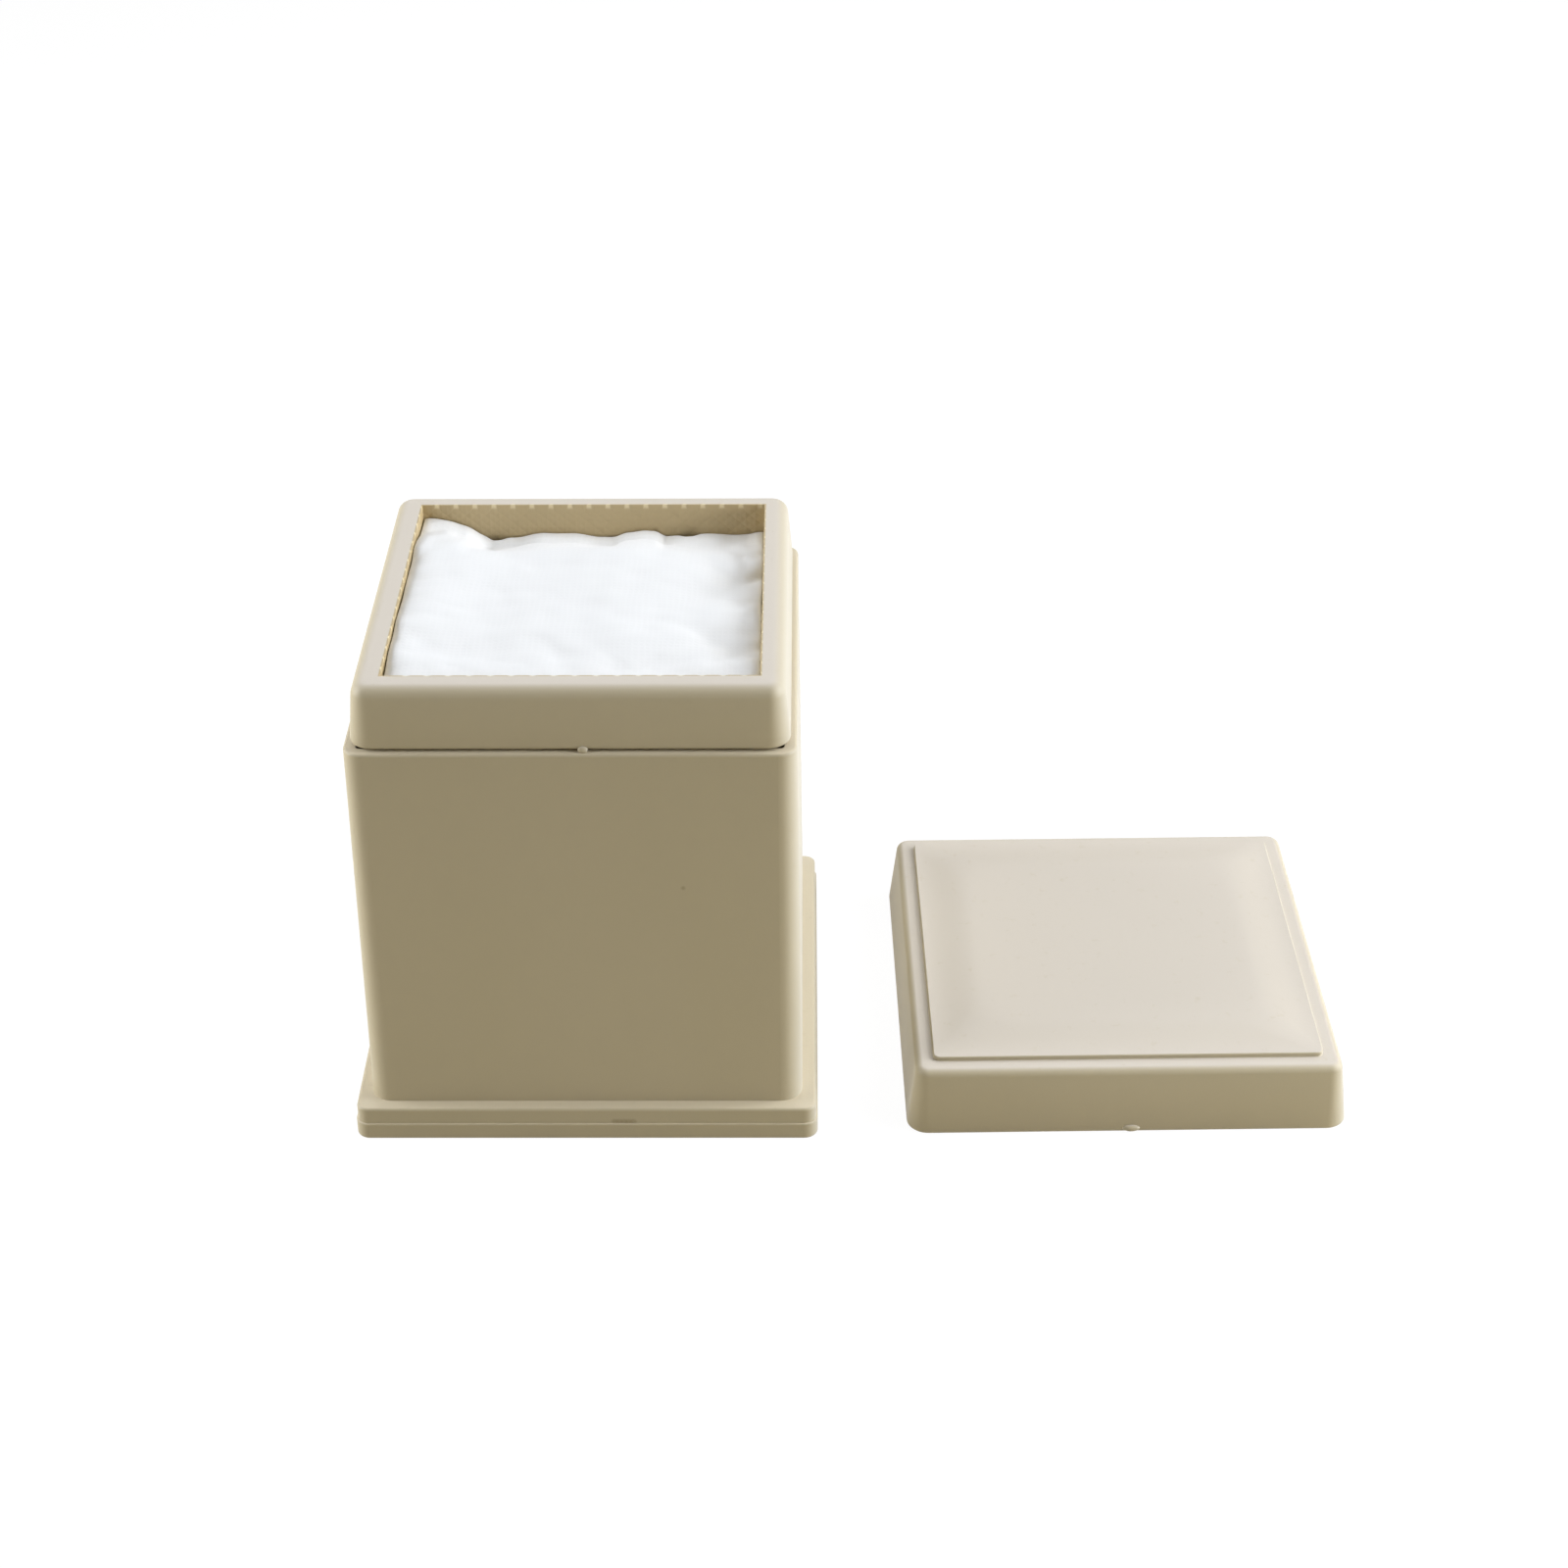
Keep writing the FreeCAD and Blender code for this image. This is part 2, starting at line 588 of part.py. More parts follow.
def make_top_sponge():
    """The crumpled sponge in the window: crowned, with its left side curled up."""
    half = value_of("Sizes.sponge_width") / 2 - value_of("Sizes.top_sponge_inset")
    edge = value_of("Sizes.top_sponge_edge")
    crown = value_of("Sizes.top_sponge_crown")
    curl = value_of("Sizes.top_sponge_curl")
    middle = (edge + crown) / 2
    # Each row is a station along Y and the heights at five places from left to right
    stations = [
        (-1.0, (curl * 0.8, edge, middle, edge, edge)),
        (-0.55, (curl, crown, crown, crown, middle)),
        (0.0, (curl * 0.85, middle, crown, middle, edge)),
        (0.55, (curl * 0.75, middle, crown, crown, middle)),
        (1.0, (curl * 0.9, edge, middle, edge, edge)),
    ]
    places = (-1.0, -0.55, 0.0, 0.5, 1.0)
    wires = []
    for depth, heights in stations:
        y = depth * half
        tops = [V(place * half, y, height) for place, height in zip(places, heights)]
        wires.append(sponge_section(half, y, tops))
    solid = Part.makeLoft(wires, True, True)
    sponge = doc.addObject("Part::Feature", "sponge_01")
    sponge.Label = "sponge_01"
    sponge.Shape = solid
    sponge.setExpression("Placement.Base.z", f"{STACK_TOP} + Sizes.top_sponge_gap")
    pieces.append(sponge)


def sponge_section(half, y, tops):
    """A closed section: flat foot, two sides, and a top of two arcs."""
    left_foot = V(-half, y, 0)
    right_foot = V(half, y, 0)
    edges = [
        Part.LineSegment(left_foot, tops[0]).toShape(),
        arc_or_line(tops[0], tops[1], tops[2]),
        arc_or_line(tops[2], tops[3], tops[4]),
        Part.LineSegment(tops[4], right_foot).toShape(),
        Part.LineSegment(right_foot, left_foot).toShape(),
    ]
    return Part.Wire(edges)


def arc_or_line(start, through, end):
    """The arc through three points, or a line where they are in line."""
    bend = (through - start).cross(end - through).Length
    if bend < 1e-6:
        return Part.LineSegment(start, end).toShape()
    return Part.Arc(start, through, end).toShape()


def make_spring():
    """Compression spring: one wire on a helix whose end turns lie closer together."""
    radius = value_of("Sizes.coil_radius")
    wire = value_of("Sizes.wire")
    turns = value_of("Sizes.spring_turns")
    end_pitch = value_of("Sizes.end_pitch")
    length = value_of(SPRING_HEAD) - value_of(SPRING_FOOT)
    rise = length - wire
    open_pitch = (rise - 2 * end_pitch) / (turns - 2)

    def level(turn):
        """Height of the wire's centre after so many turns."""
        if turn <= 1:
            return wire / 2 + turn * end_pitch
        if turn >= turns - 1:
            return wire / 2 + rise - (turns - turn) * end_pitch
        return wire / 2 + end_pitch + (turn - 1) * open_pitch

    def point(turn):
        angle = 2 * math.pi * turn
        return V(radius * math.cos(angle), radius * math.sin(angle), level(turn))

    def slope(turn):
        """Rise for each turn, blended where the end turns meet the open ones."""
        step = 0.25
        low = max(0.0, turn - step)
        high = min(turns, turn + step)
        return (level(high) - level(low)) / (high - low)

    def direction(turn):
        angle = 2 * math.pi * turn
        around = 2 * math.pi * radius
        return V(-math.sin(angle) * around, math.cos(angle) * around, slope(turn)).normalize()

    edges = []
    quarters = int(round(turns * 4))
    for quarter in range(quarters):
        start = quarter / 4
        end = (quarter + 1) / 4
        edges += biarc(point(start), direction(start), point(end), direction(end))
    path = Part.Wire(edges)
    section = Part.Wire(Part.Circle(point(0), direction(0), wire / 2).toShape())
    solid = path.makePipeShell([section], True, False)
    expected = math.pi * (wire / 2) ** 2 * path.Length
    least_gap = min(level(turn / 8 + 1) - level(turn / 8) for turn in range(int(turns - 1) * 8)) - wire
    print(f"spring volume {solid.Volume:.1f}, wire length times section {expected:.1f}")
    print(f"spring open pitch {open_pitch:.2f}, least gap between turns {least_gap:.2f}")
    spring = doc.addObject("Part::Feature", "spring")
    spring.Label = "spring"
    spring.Shape = solid
    spring.setExpression("Placement.Base.z", SPRING_FOOT)
    pieces.append(spring)


def biarc(start, start_way, end, end_way):
    """Two tangent arcs from start to end that leave and arrive in the given directions."""
    chord = end - start
    ways = start_way + end_way
    a = ways.dot(ways) - 4
    b = -2 * chord.dot(ways)
    c = chord.dot(chord)
    reach = (-b - math.sqrt(b * b - 4 * a * c)) / (2 * a)
    first = start + start_way * reach
    second = end - end_way * reach
    joint = (first + second) * 0.5
    return [tangent_arc(start, first, joint), tangent_arc(joint, second, end)]


def tangent_arc(start, corner, end):
    """The arc from start to end whose end tangents meet at corner."""
    middle = (start + end) * 0.5
    half_chord = (end - start).Length / 2
    height = (corner - middle).Length
    bulge = half_chord * math.tan(math.atan2(height, half_chord) / 2)
    through = middle + (corner - middle).normalize() * bulge
    return Part.Arc(start, through, end).toShape()


make_housing()
make_base_plate()
make_collar()
make_lid()
make_follower()
make_stack()
make_top_sponge()
make_spring()
doc.recompute()

for item in doc.Objects:
    if "Invalid" in item.State or "Error" in item.State:
        raise RuntimeError(f"{item.Label} is {item.State}")
os.makedirs("parts", exist_ok=True)
for piece in pieces:
    if piece.Shape.isNull() or not piece.Shape.isValid():
        raise RuntimeError(f"{piece.Label} has no valid shape")
    print(f"{piece.Label}: {len(piece.Shape.Solids)} solid, volume {piece.Shape.Volume:.1f}")
for piece in pieces:
    piece.Shape.exportStep(f"parts/{piece.Label}.step")
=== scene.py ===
import math

import bmesh
import bpy
from mathutils import Matrix, Vector, noise


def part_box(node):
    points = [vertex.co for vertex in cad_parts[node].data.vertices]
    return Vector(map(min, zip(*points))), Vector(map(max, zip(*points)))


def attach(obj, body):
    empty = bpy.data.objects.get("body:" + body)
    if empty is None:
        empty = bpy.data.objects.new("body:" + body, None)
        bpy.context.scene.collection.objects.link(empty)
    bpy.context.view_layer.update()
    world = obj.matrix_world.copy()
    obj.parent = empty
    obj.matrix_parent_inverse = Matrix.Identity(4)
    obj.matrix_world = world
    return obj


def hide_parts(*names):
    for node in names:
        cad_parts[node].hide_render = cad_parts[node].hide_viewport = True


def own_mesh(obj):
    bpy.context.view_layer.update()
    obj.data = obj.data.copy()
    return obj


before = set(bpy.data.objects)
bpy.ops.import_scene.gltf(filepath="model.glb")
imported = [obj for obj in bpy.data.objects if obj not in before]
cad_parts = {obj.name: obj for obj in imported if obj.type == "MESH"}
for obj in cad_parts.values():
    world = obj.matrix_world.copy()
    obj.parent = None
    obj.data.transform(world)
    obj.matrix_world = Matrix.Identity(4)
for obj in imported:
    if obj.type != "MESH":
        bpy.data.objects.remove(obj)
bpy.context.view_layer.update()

MM = 0.001

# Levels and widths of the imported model, in millimetres
collar_low, collar_high = (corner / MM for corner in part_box("collar"))
stack_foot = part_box("sponge_18")[0].z / MM
top_sponge_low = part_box("sponge_01")[0] / MM
spring_low, spring_high = (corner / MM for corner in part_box("spring"))

RIM = collar_high.z
SLEEVE_FOOT = collar_low.z
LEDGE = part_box("housing")[1].z / MM
STACK_LEAVES_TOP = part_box("sponge_02")[1].z / MM

# Collar
COLLAR_FOOT = collar_high.x
COLLAR_DRAFT = 0.8
COLLAR_CORNER = 3.2
COLLAR_ROUND = 2.0
COLLAR_SKIN = 29.1
COLLAR_WEB = 1.8
FOOT_GAP = 0.3
FOOT_GAP_REACH = 1.6
WINDOW = 26.6
WINDOW_CENTRE = Vector((0.2, 0.15, 0))
SLEEVE_WALL = 1.2
SLEEVE_CORNER = 1.2
SMALL_ROUND = 0.18
LUG_OFFSET = 20.0
LUG_WIDTH = 1.6
LUG_TIP = 30.0
COLLAR_GATE = (1.9, -COLLAR_FOOT + 0.02, LEDGE + 0.35)
COLLAR_GATE_REACH = (0.75, 0.5, 0.55)

# Knurl of the window walls: pits in a fine texture, one to a pitch of four columns. The pits at
# the rim are notches, deeper and taller than the others. The painted shade on the walls fades out
# between two distances behind them.
KNURL_COLUMNS = 72
KNURL_PITCH = 4
KNURL_ROWS = 16
KNURL_ROW = 0.65
KNURL_FINE = 0.05
KNURL_PIT = 0.12
KNURL_NOTCH = 0.15
NOTCH_MARK = "notch"
NOTCH_EXTRA = 0.6
KNURL_LAND = 0.6
KNURL_WELD = 0.01
INSIDE_ENDS = 0.15
OUTSIDE_STARTS = 0.35
KNURL_FOOT = RIM - KNURL_ROWS * KNURL_ROW - NOTCH_EXTRA

# Lid
LID_CENTRE = Vector((81.2, 0.15, 0))
LID_TURN = math.radians(1.09)
LID_FOOT = 33.35
LID_DRAFT = 1.25
LID_HEIGHT = 10.8
LID_CORNER = 3.2
LID_ROUND = 1.2
LID_CAVITY = 31.5
LID_CAVITY_DRAFT = 0.8
LID_DEPTH = 9.4
CAVITY_CORNER = 1.6
CAVITY_BEVEL = 0.4
MOUTH_LEVEL = 0.3
MOUTH_DRAFT = 0.03
MOUTH_BEVEL = 0.25
MOUTH_CORNER = 1.8
PANEL = 29.4
PANEL_STEP = 0.7
PANEL_CORNER = 1.0
PANEL_FILLET = 0.08
PILLOW_SLOPE = 8.6
PILLOW_RISE = 0.8
PILLOW_CROWN = 0.12
PILLOW_CORNER = 0.9
PILLOW_CORNER_GAIN = 5.0
LID_GATE = (0.5, -LID_FOOT + 0.15, 0.62)
LID_GATE_REACH = (1.4, 0.55, 0.6)

# Gauze: half sizes, and how far the top sheet's front edge and its rear edge at the two guide
# ribs are drawn in to keep clear of the housing
SPONGE = 25.4
SPONGES_BELOW = 17
LEAVES_IN_A_SPONGE = 4
LEAF_INSET = 0.35
LEAF_FILL = 0.96
LEAF_EDGE = 0.25
TOP_LEAF = 0.45
TOP_SHEET = 26.5
TOP_SHEET_CENTRE = (0.2, 0.2)
SHEET_WANDER = 0.15
STACK_WANDER = 0.5
RIB_OFFSET = 15.0
RIB_REACH = 1.3
FRONT_DRAWN_IN = 0.7
RIB_DRAWN_IN = 1.1
THREAD_PITCH = 0.85
SIMULATION_SCALE = 10.0

# Spring
SPRING_TURNS = 8.5
SPRING_TURN_STEPS = 48
SPRING_END_PITCH = 1.7
SPRING_WIRE = 1.2
SPRING_RADIUS = 17.5

# Colours as they are seen on a screen, from 0 to 255
BEIGE = (193, 182, 155)
# Paler tone painted on faces that look up: painted sheen, standing in for light from above
BEIGE_TOP_PAINTED_SHEEN = (209, 201, 189)
BEIGE_DEEP = (189, 178, 149)
# The same painted sheen for the tops of the housing and the base plate
BEIGE_FOOT_PAINTED_SHEEN = (214, 203, 178)
# Greyer tone painted on faces that look to the right: painted sheen, standing in for light from the
# right
BEIGE_RIGHT_PAINTED_SHEEN = (196, 191, 177)
# Darker, deeper tone painted on the window walls: painted shade of the recess
BEIGE_WINDOW_PAINTED_SHADE = (188, 168, 127)
# Lighter tone painted on the rim notches: painted highlight of their lit upper facets
BEIGE_NOTCH_PAINTED_HIGHLIGHT = (226, 212, 172)
MARK = (150, 134, 104)
FOLLOWER_WHITE = (238, 238, 234)
FOLLOWER_BRIGHT = (246, 246, 243)
STEEL = (196, 196, 198)
STEEL_TARNISHED = (170, 168, 166)
COTTON = (239, 240, 241)
COTTON_THREAD = (242, 243, 244)

# Small marks on the front of the housing and of its flange: place, size and strength
HOUSING_MARKS = [((15.5, -32.4, 43.9), 0.55, 0.55)]
HOUSING_MARKS += [((4.3 + 0.7 * step, -34.65, 3.1), 0.75, 0.5) for step in range(5)]

# Camera, as it was worked out from the photograph, with its focal length in picture widths
CAMERA_PLACE = Vector((33.375, -374.246, 275.223))
CAMERA_PITCH = math.radians(31.994)
CAMERA_YAW = math.radians(-0.549)
CAMERA_ROLL = math.radians(-0.366)
FOCAL_LENGTH = 2927.3 / 1600
SENSOR_WIDTH = 36.0

# Lamps: name, place, target, size and power
STAGE_MIDDLE = (35, 0, 40)
LAMPS = [
    ("overhead", (60, 450, 560), (35, 0, 30), (700, 400), 1.27),
    ("right", (450, 60, 450), STAGE_MIDDLE, (350, 350), 1.48),
    ("low right", (520, 0, 260), STAGE_MIDDLE, (300, 250), 1.86),
    ("front right", (503, -198, 148), STAGE_MIDDLE, (250, 150), 0.99),
    ("left", (-400, 0, 245), STAGE_MIDDLE, (300, 250), 1.67),
    ("low left", (-450, -60, 90), STAGE_MIDDLE, (250, 120), 0.53),
]
LAMP_TINT = (0.98, 1.0, 1.03)

# Floor
FLOOR_REACH = 3000
FLOOR_DROP = 0.05

# Meshes
CORNER_STEPS = 10
SMALLEST_CORNER = 0.02
NUB_RINGS = 6
NUB_STEPS = 14
NUB_WELD = 0.001


def new_object(name, data):
    """An object of the scene that holds some data, such as a mesh or a lamp."""
    thing = bpy.data.objects.new(name, data)
    bpy.context.scene.collection.objects.link(thing)
    return thing


def mesh_object(name, points, faces, sharp=35):
    """A mesh object from points in millimetres, shaded smooth up to an edge angle in degrees."""
    mesh = bpy.data.meshes.new(name)
    mesh.from_pydata([Vector(point) * MM for point in points], [], faces)
    mesh.validate()
    mesh.shade_smooth()
    mesh.set_sharp_from_angle(angle=math.radians(sharp))
    return new_object(name, mesh)


def evaluated_mesh(thing):
    """A plain mesh of an object as its modifiers or its curve settings make it."""
    bpy.context.view_layer.update()
    evaluated = thing.evaluated_get(bpy.context.evaluated_depsgraph_get())
    return bpy.data.meshes.new_from_object(evaluated)


def join(name, things):
    """One object made of several, under a new name."""
    bpy.ops.object.select_all(action="DESELECT")
    for thing in things:
        thing.select_set(True)
    bpy.context.view_layer.objects.active = things[0]
    bpy.ops.object.join()
    things[0].name = name
    things[0].data.name = name
    return things[0]


def square_ring(half, corner, level):
    """Points of a square with round corners, anticlockwise, at one level."""
    corner = max(corner, SMALLEST_CORNER)
    flat = half - corner
    points = []
    for side in range(4):
        turn = Matrix.Rotation(math.pi / 2 * side, 3, "Z")
        for step in range(CORNER_STEPS + 1):
            angle = math.pi / 2 * (step / CORNER_STEPS - 1)
            reach = Vector((flat + corner * math.cos(angle), -flat + corner * math.sin(angle), 0))
            points.append(turn @ reach + Vector((0, 0, level)))
    return points


def skin(profile, caps=True):
    """Points and faces of a wall whose cross-section is a list of (half, corner, level)."""
    rings = [square_ring(*station) for station in profile]
    around = len(rings[0])
    points = [point for ring in rings for point in ring]
    faces = []
    for station in range(len(rings) - 1):
        lower = station * around
        upper = lower + around
        for index in range(around):
            following = (index + 1) % around
            faces.append((lower + index, lower + following, upper + following, upper + index))
    if caps:
        faces.append(tuple(reversed(range(around))))
        faces.append(tuple(range(len(points) - around, len(points))))
    return points, faces


def arc(half, level, radius, start, end, steps):
    """(half, level) pairs along an arc round a centre, with its angles in degrees."""
    pairs = []
    for step in range(steps + 1):
        angle = math.radians(start + (end - start) * step / steps)
        pairs.append((half + radius * math.cos(angle), level + radius * math.sin(angle)))
    return pairs


def with_corners(pairs, half, corner):
    """Add to each (half, level) pair the corner that keeps an even distance to a wall."""
    return [(reach, corner + reach - half, level) for reach, level in pairs]


def block(low, high):
    """Points and faces of a box between two corners."""
    points = [(x, y, z) for z in (low[2], high[2]) for y in (low[1], high[1])
              for x in (low[0], high[0])]
    faces = [(0, 2, 3, 1), (4, 5, 7, 6), (0, 1, 5, 4), (1, 3, 7, 5), (3, 2, 6, 7), (2, 0, 4, 6)]
    return points, faces


def gate_nub(name, centre, reach):
    """The small blunt nub that the mould's gate leaves at the foot of a front wall."""
    points = []
    for ring in range(NUB_RINGS + 1):
        tilt = math.pi * ring / NUB_RINGS
        for step in range(NUB_STEPS):
            angle = 2 * math.pi * step / NUB_STEPS
            way = (math.sin(tilt) * math.cos(angle), math.sin(tilt) * math.sin(angle), math.cos(tilt))
            points.append([middle + size * part for middle, size, part in zip(centre, reach, way)])
    faces = []
    for ring in range(NUB_RINGS):
        upper = ring * NUB_STEPS
        lower = upper + NUB_STEPS
        for step in range(NUB_STEPS):
            following = (step + 1) % NUB_STEPS
            faces.append((upper + step, lower + step, lower + following, upper + following))
    nub = mesh_object(name, points, faces)
    weld(nub, NUB_WELD)
    return nub


def weld(thing, distance):
    """Merge the points of a mesh that lie within a distance, in millimetres."""
    mesh = bmesh.new()
    mesh.from_mesh(thing.data)
    bmesh.ops.remove_doubles(mesh, verts=mesh.verts, dist=distance * MM)
    mesh.to_mesh(thing.data)
    mesh.free()


class Tree:
    """A geometry node tree with named inputs, built one node at a time."""

    def __init__(self, name, **sizes):
        self.group = bpy.data.node_groups.new(name, "GeometryNodeTree")
        self.group.interface.new_socket("Geometry", in_out="INPUT", socket_type="NodeSocketGeometry")
        self.group.interface.new_socket("Geometry", in_out="OUTPUT", socket_type="NodeSocketGeometry")
        self.sizes = sizes
        for label, value in sizes.items():
            kind = {int: "NodeSocketInt", float: "NodeSocketFloat"}.get(type(value), "NodeSocketObject")
            self.group.interface.new_socket(label, in_out="INPUT", socket_type=kind)
        self.inputs = self.group.nodes.new("NodeGroupInput").outputs

    def feed(self, socket, value):
        """Set a socket to a value, or link it."""
        if isinstance(value, bpy.types.NodeSocket):
            self.group.links.new(value, socket)
        else:
            socket.default_value = value

    def add(self, kind, settings=None, output=0, **values):
        """A node: its settings are set first, then the values or links of its sockets."""
        node = self.group.nodes.new(kind)
        for setting, value in (settings or {}).items():
            setattr(node, setting, value)
        for label, value in values.items():
            self.feed(node.inputs[label.replace("_", " ")], value)
        return node.outputs[output]

    def maths(self, operation, *values):
        """A Math node on numbers or links."""
        node = self.group.nodes.new("ShaderNodeMath")
        node.operation = operation
        for socket, value in zip(node.inputs, values):
            self.feed(socket, value)
        return node.outputs[0]

    def join(self, *parts):
        """One geometry from several."""
        node = self.group.nodes.new("GeometryNodeJoinGeometry")
        for part in reversed(parts):
            self.group.links.new(part, node.inputs[0])
        return node.outputs[0]

    def grow(self, name, geometry, material):
        """Realise the tree's geometry on an empty mesh and return it as a plain mesh object."""
        joined = self.add("GeometryNodeRealizeInstances", Geometry=geometry)
        painted = self.add("GeometryNodeSetMaterial", Geometry=joined, Material=material)
        end = self.group.nodes.new("NodeGroupOutput")
        self.group.links.new(painted, end.inputs[0])
        holder = new_object(name, bpy.data.meshes.new(name))
        modifier = holder.modifiers.new(name, "NODES")
        modifier.node_group = self.group
        for item in self.group.interface.items_tree:
            if item.in_out == "INPUT" and item.name in self.sizes:
                modifier[item.identifier] = self.sizes[item.name]
        plain = evaluated_mesh(holder)
        holder.modifiers.remove(modifier)
        holder.data = plain
        return holder


class Number:
    """A shader socket of numbers: arithmetic on it adds Math nodes to its tree."""

    def __init__(self, shading, socket):
        self.shading = shading
        self.socket = socket

    def maths(self, operation, *values):
        """A Math node on numbers or links."""
        return self.shading.add("ShaderNodeMath", {"operation": operation}, dict(enumerate(values)))

    def __add__(self, other):
        return self.maths("ADD", self, other)

    def __radd__(self, other):
        return self.maths("ADD", other, self)

    def __sub__(self, other):
        return self.maths("SUBTRACT", self, other)

    def __rsub__(self, other):
        return self.maths("SUBTRACT", other, self)

    def __mul__(self, other):
        return self.maths("MULTIPLY", self, other)

    def __rmul__(self, other):
        return self.maths("MULTIPLY", other, self)

    def __truediv__(self, other):
        return self.maths("DIVIDE", self, other)

    def __pow__(self, other):
        return self.maths("POWER", self, other)

    def at_least(self, other):
        """The larger of two numbers."""
        return self.maths("MAXIMUM", self, other)

    def clamped(self):
        """The number, kept from 0 to 1."""
        return self.shading.add("ShaderNodeClamp", {}, {"Value": self})

    def ramp(self, low, high):
        """0 up to low, 1 from high, and a smooth step between them."""
        settings = {"interpolation_type": "SMOOTHSTEP"}
        return self.shading.add("ShaderNodeMapRange", settings, {"Value": self, 1: low, 2: high})

    def wave(self):
        """The sine of the number, from 0 to 1."""
        return self.maths("SINE", self) * 0.5 + 0.5


class Shading:
    """A shader node tree, built one node at a time."""

    def __init__(self, tree):
        self.tree = tree

    def add(self, kind, settings=None, values=None, output=0):
        """A node: its settings are set first, then the values or links of its sockets."""
        node = self.tree.nodes.new(kind)
        for setting, value in (settings or {}).items():
            setattr(node, setting, value)
        for label, value in (values or {}).items():
            self.feed(node.inputs[label], value)
        if not node.outputs:
            return None
        return Number(self, node.outputs[output])

    def feed(self, socket, value):
        """Set a socket to a value, or link it."""
        if isinstance(value, Number):
            self.tree.links.new(value.socket, socket)
        else:
            socket.default_value = value

    def mix_shaders(self, share, first, second):
        """One shader from two."""
        return self.add("ShaderNodeMixShader", {}, {0: share, 1: first, 2: second})


class Finish(Shading):
    """A procedural material round one Principled shader."""

    def __init__(self, name, **fixed):
        self.material = bpy.data.materials.new(name)
        self.material.use_nodes = True
        super().__init__(self.material.node_tree)
        self.shader = self.tree.nodes["Principled BSDF"]
        for label, value in fixed.items():
            self.shader.inputs[label].default_value = value

    def paint(self, label, value):
        """Link something that varies over the surface to the shader."""
        self.feed(self.shader.inputs[label], value)

    def place(self):
        """Object coordinates in metres."""
        return self.add("ShaderNodeTexCoord", output="Object")

    def vector(self, operation, first, second=(0, 0, 0)):
        """A Vector Math node on one or two vectors."""
        return self.add("ShaderNodeVectorMath", {"operation": operation}, {0: first, 1: second})

    def stretched(self, where, scale):
        """A vector scaled along each axis."""
        return self.add("ShaderNodeMapping", {}, {"Vector": where, "Scale": scale})

    def axis(self, where, letter):
        """X, Y or Z of a vector."""
        return self.add("ShaderNodeSeparateXYZ", {}, {0: where}, output=letter)

    def clouds(self, where, size, detail=2.0, roughness=0.5):
        """Soft noise from 0 to 1 whose spots are about as large as size, in millimetres."""
        values = {"Vector": where, "Scale": 1 / (size * MM), "Detail": detail, "Roughness": roughness}
        return self.add("ShaderNodeTexNoise", {}, values, output="Fac")

    def mix(self, share, first, second):
        """A colour between two colours, given as numbers or links."""
        values = {0: share, 6: first, 7: second}
        return self.add("ShaderNodeMix", {"data_type": "RGBA"}, values, output=2)

    def bump(self, height, distance, strength=1.0):
        """Let a height, times a distance in millimetres, shade the surface."""
        values = {"Height": height, "Distance": distance * MM, "Strength": strength}
        self.paint("Normal", self.add("ShaderNodeBump", {}, values))


def colour(red, green, blue):
    """A screen colour made linear."""
    def linear(value):
        share = value / 255
        return share / 12.92 if share <= 0.04045 else ((share + 0.055) / 1.055) ** 2.4
    return (linear(red), linear(green), linear(blue), 1.0)


def spot(finish, where, centre, size):
    """1 in a small round mark about a point, in millimetres, and 0 away from it."""
    apart = finish.add(
        "ShaderNodeVectorMath", {"operation": "DISTANCE"},
        {0: where, 1: [value * MM for value in centre]}, output="Value",
    )
    return 1 - apart.ramp(0.3 * size * MM, size * MM)


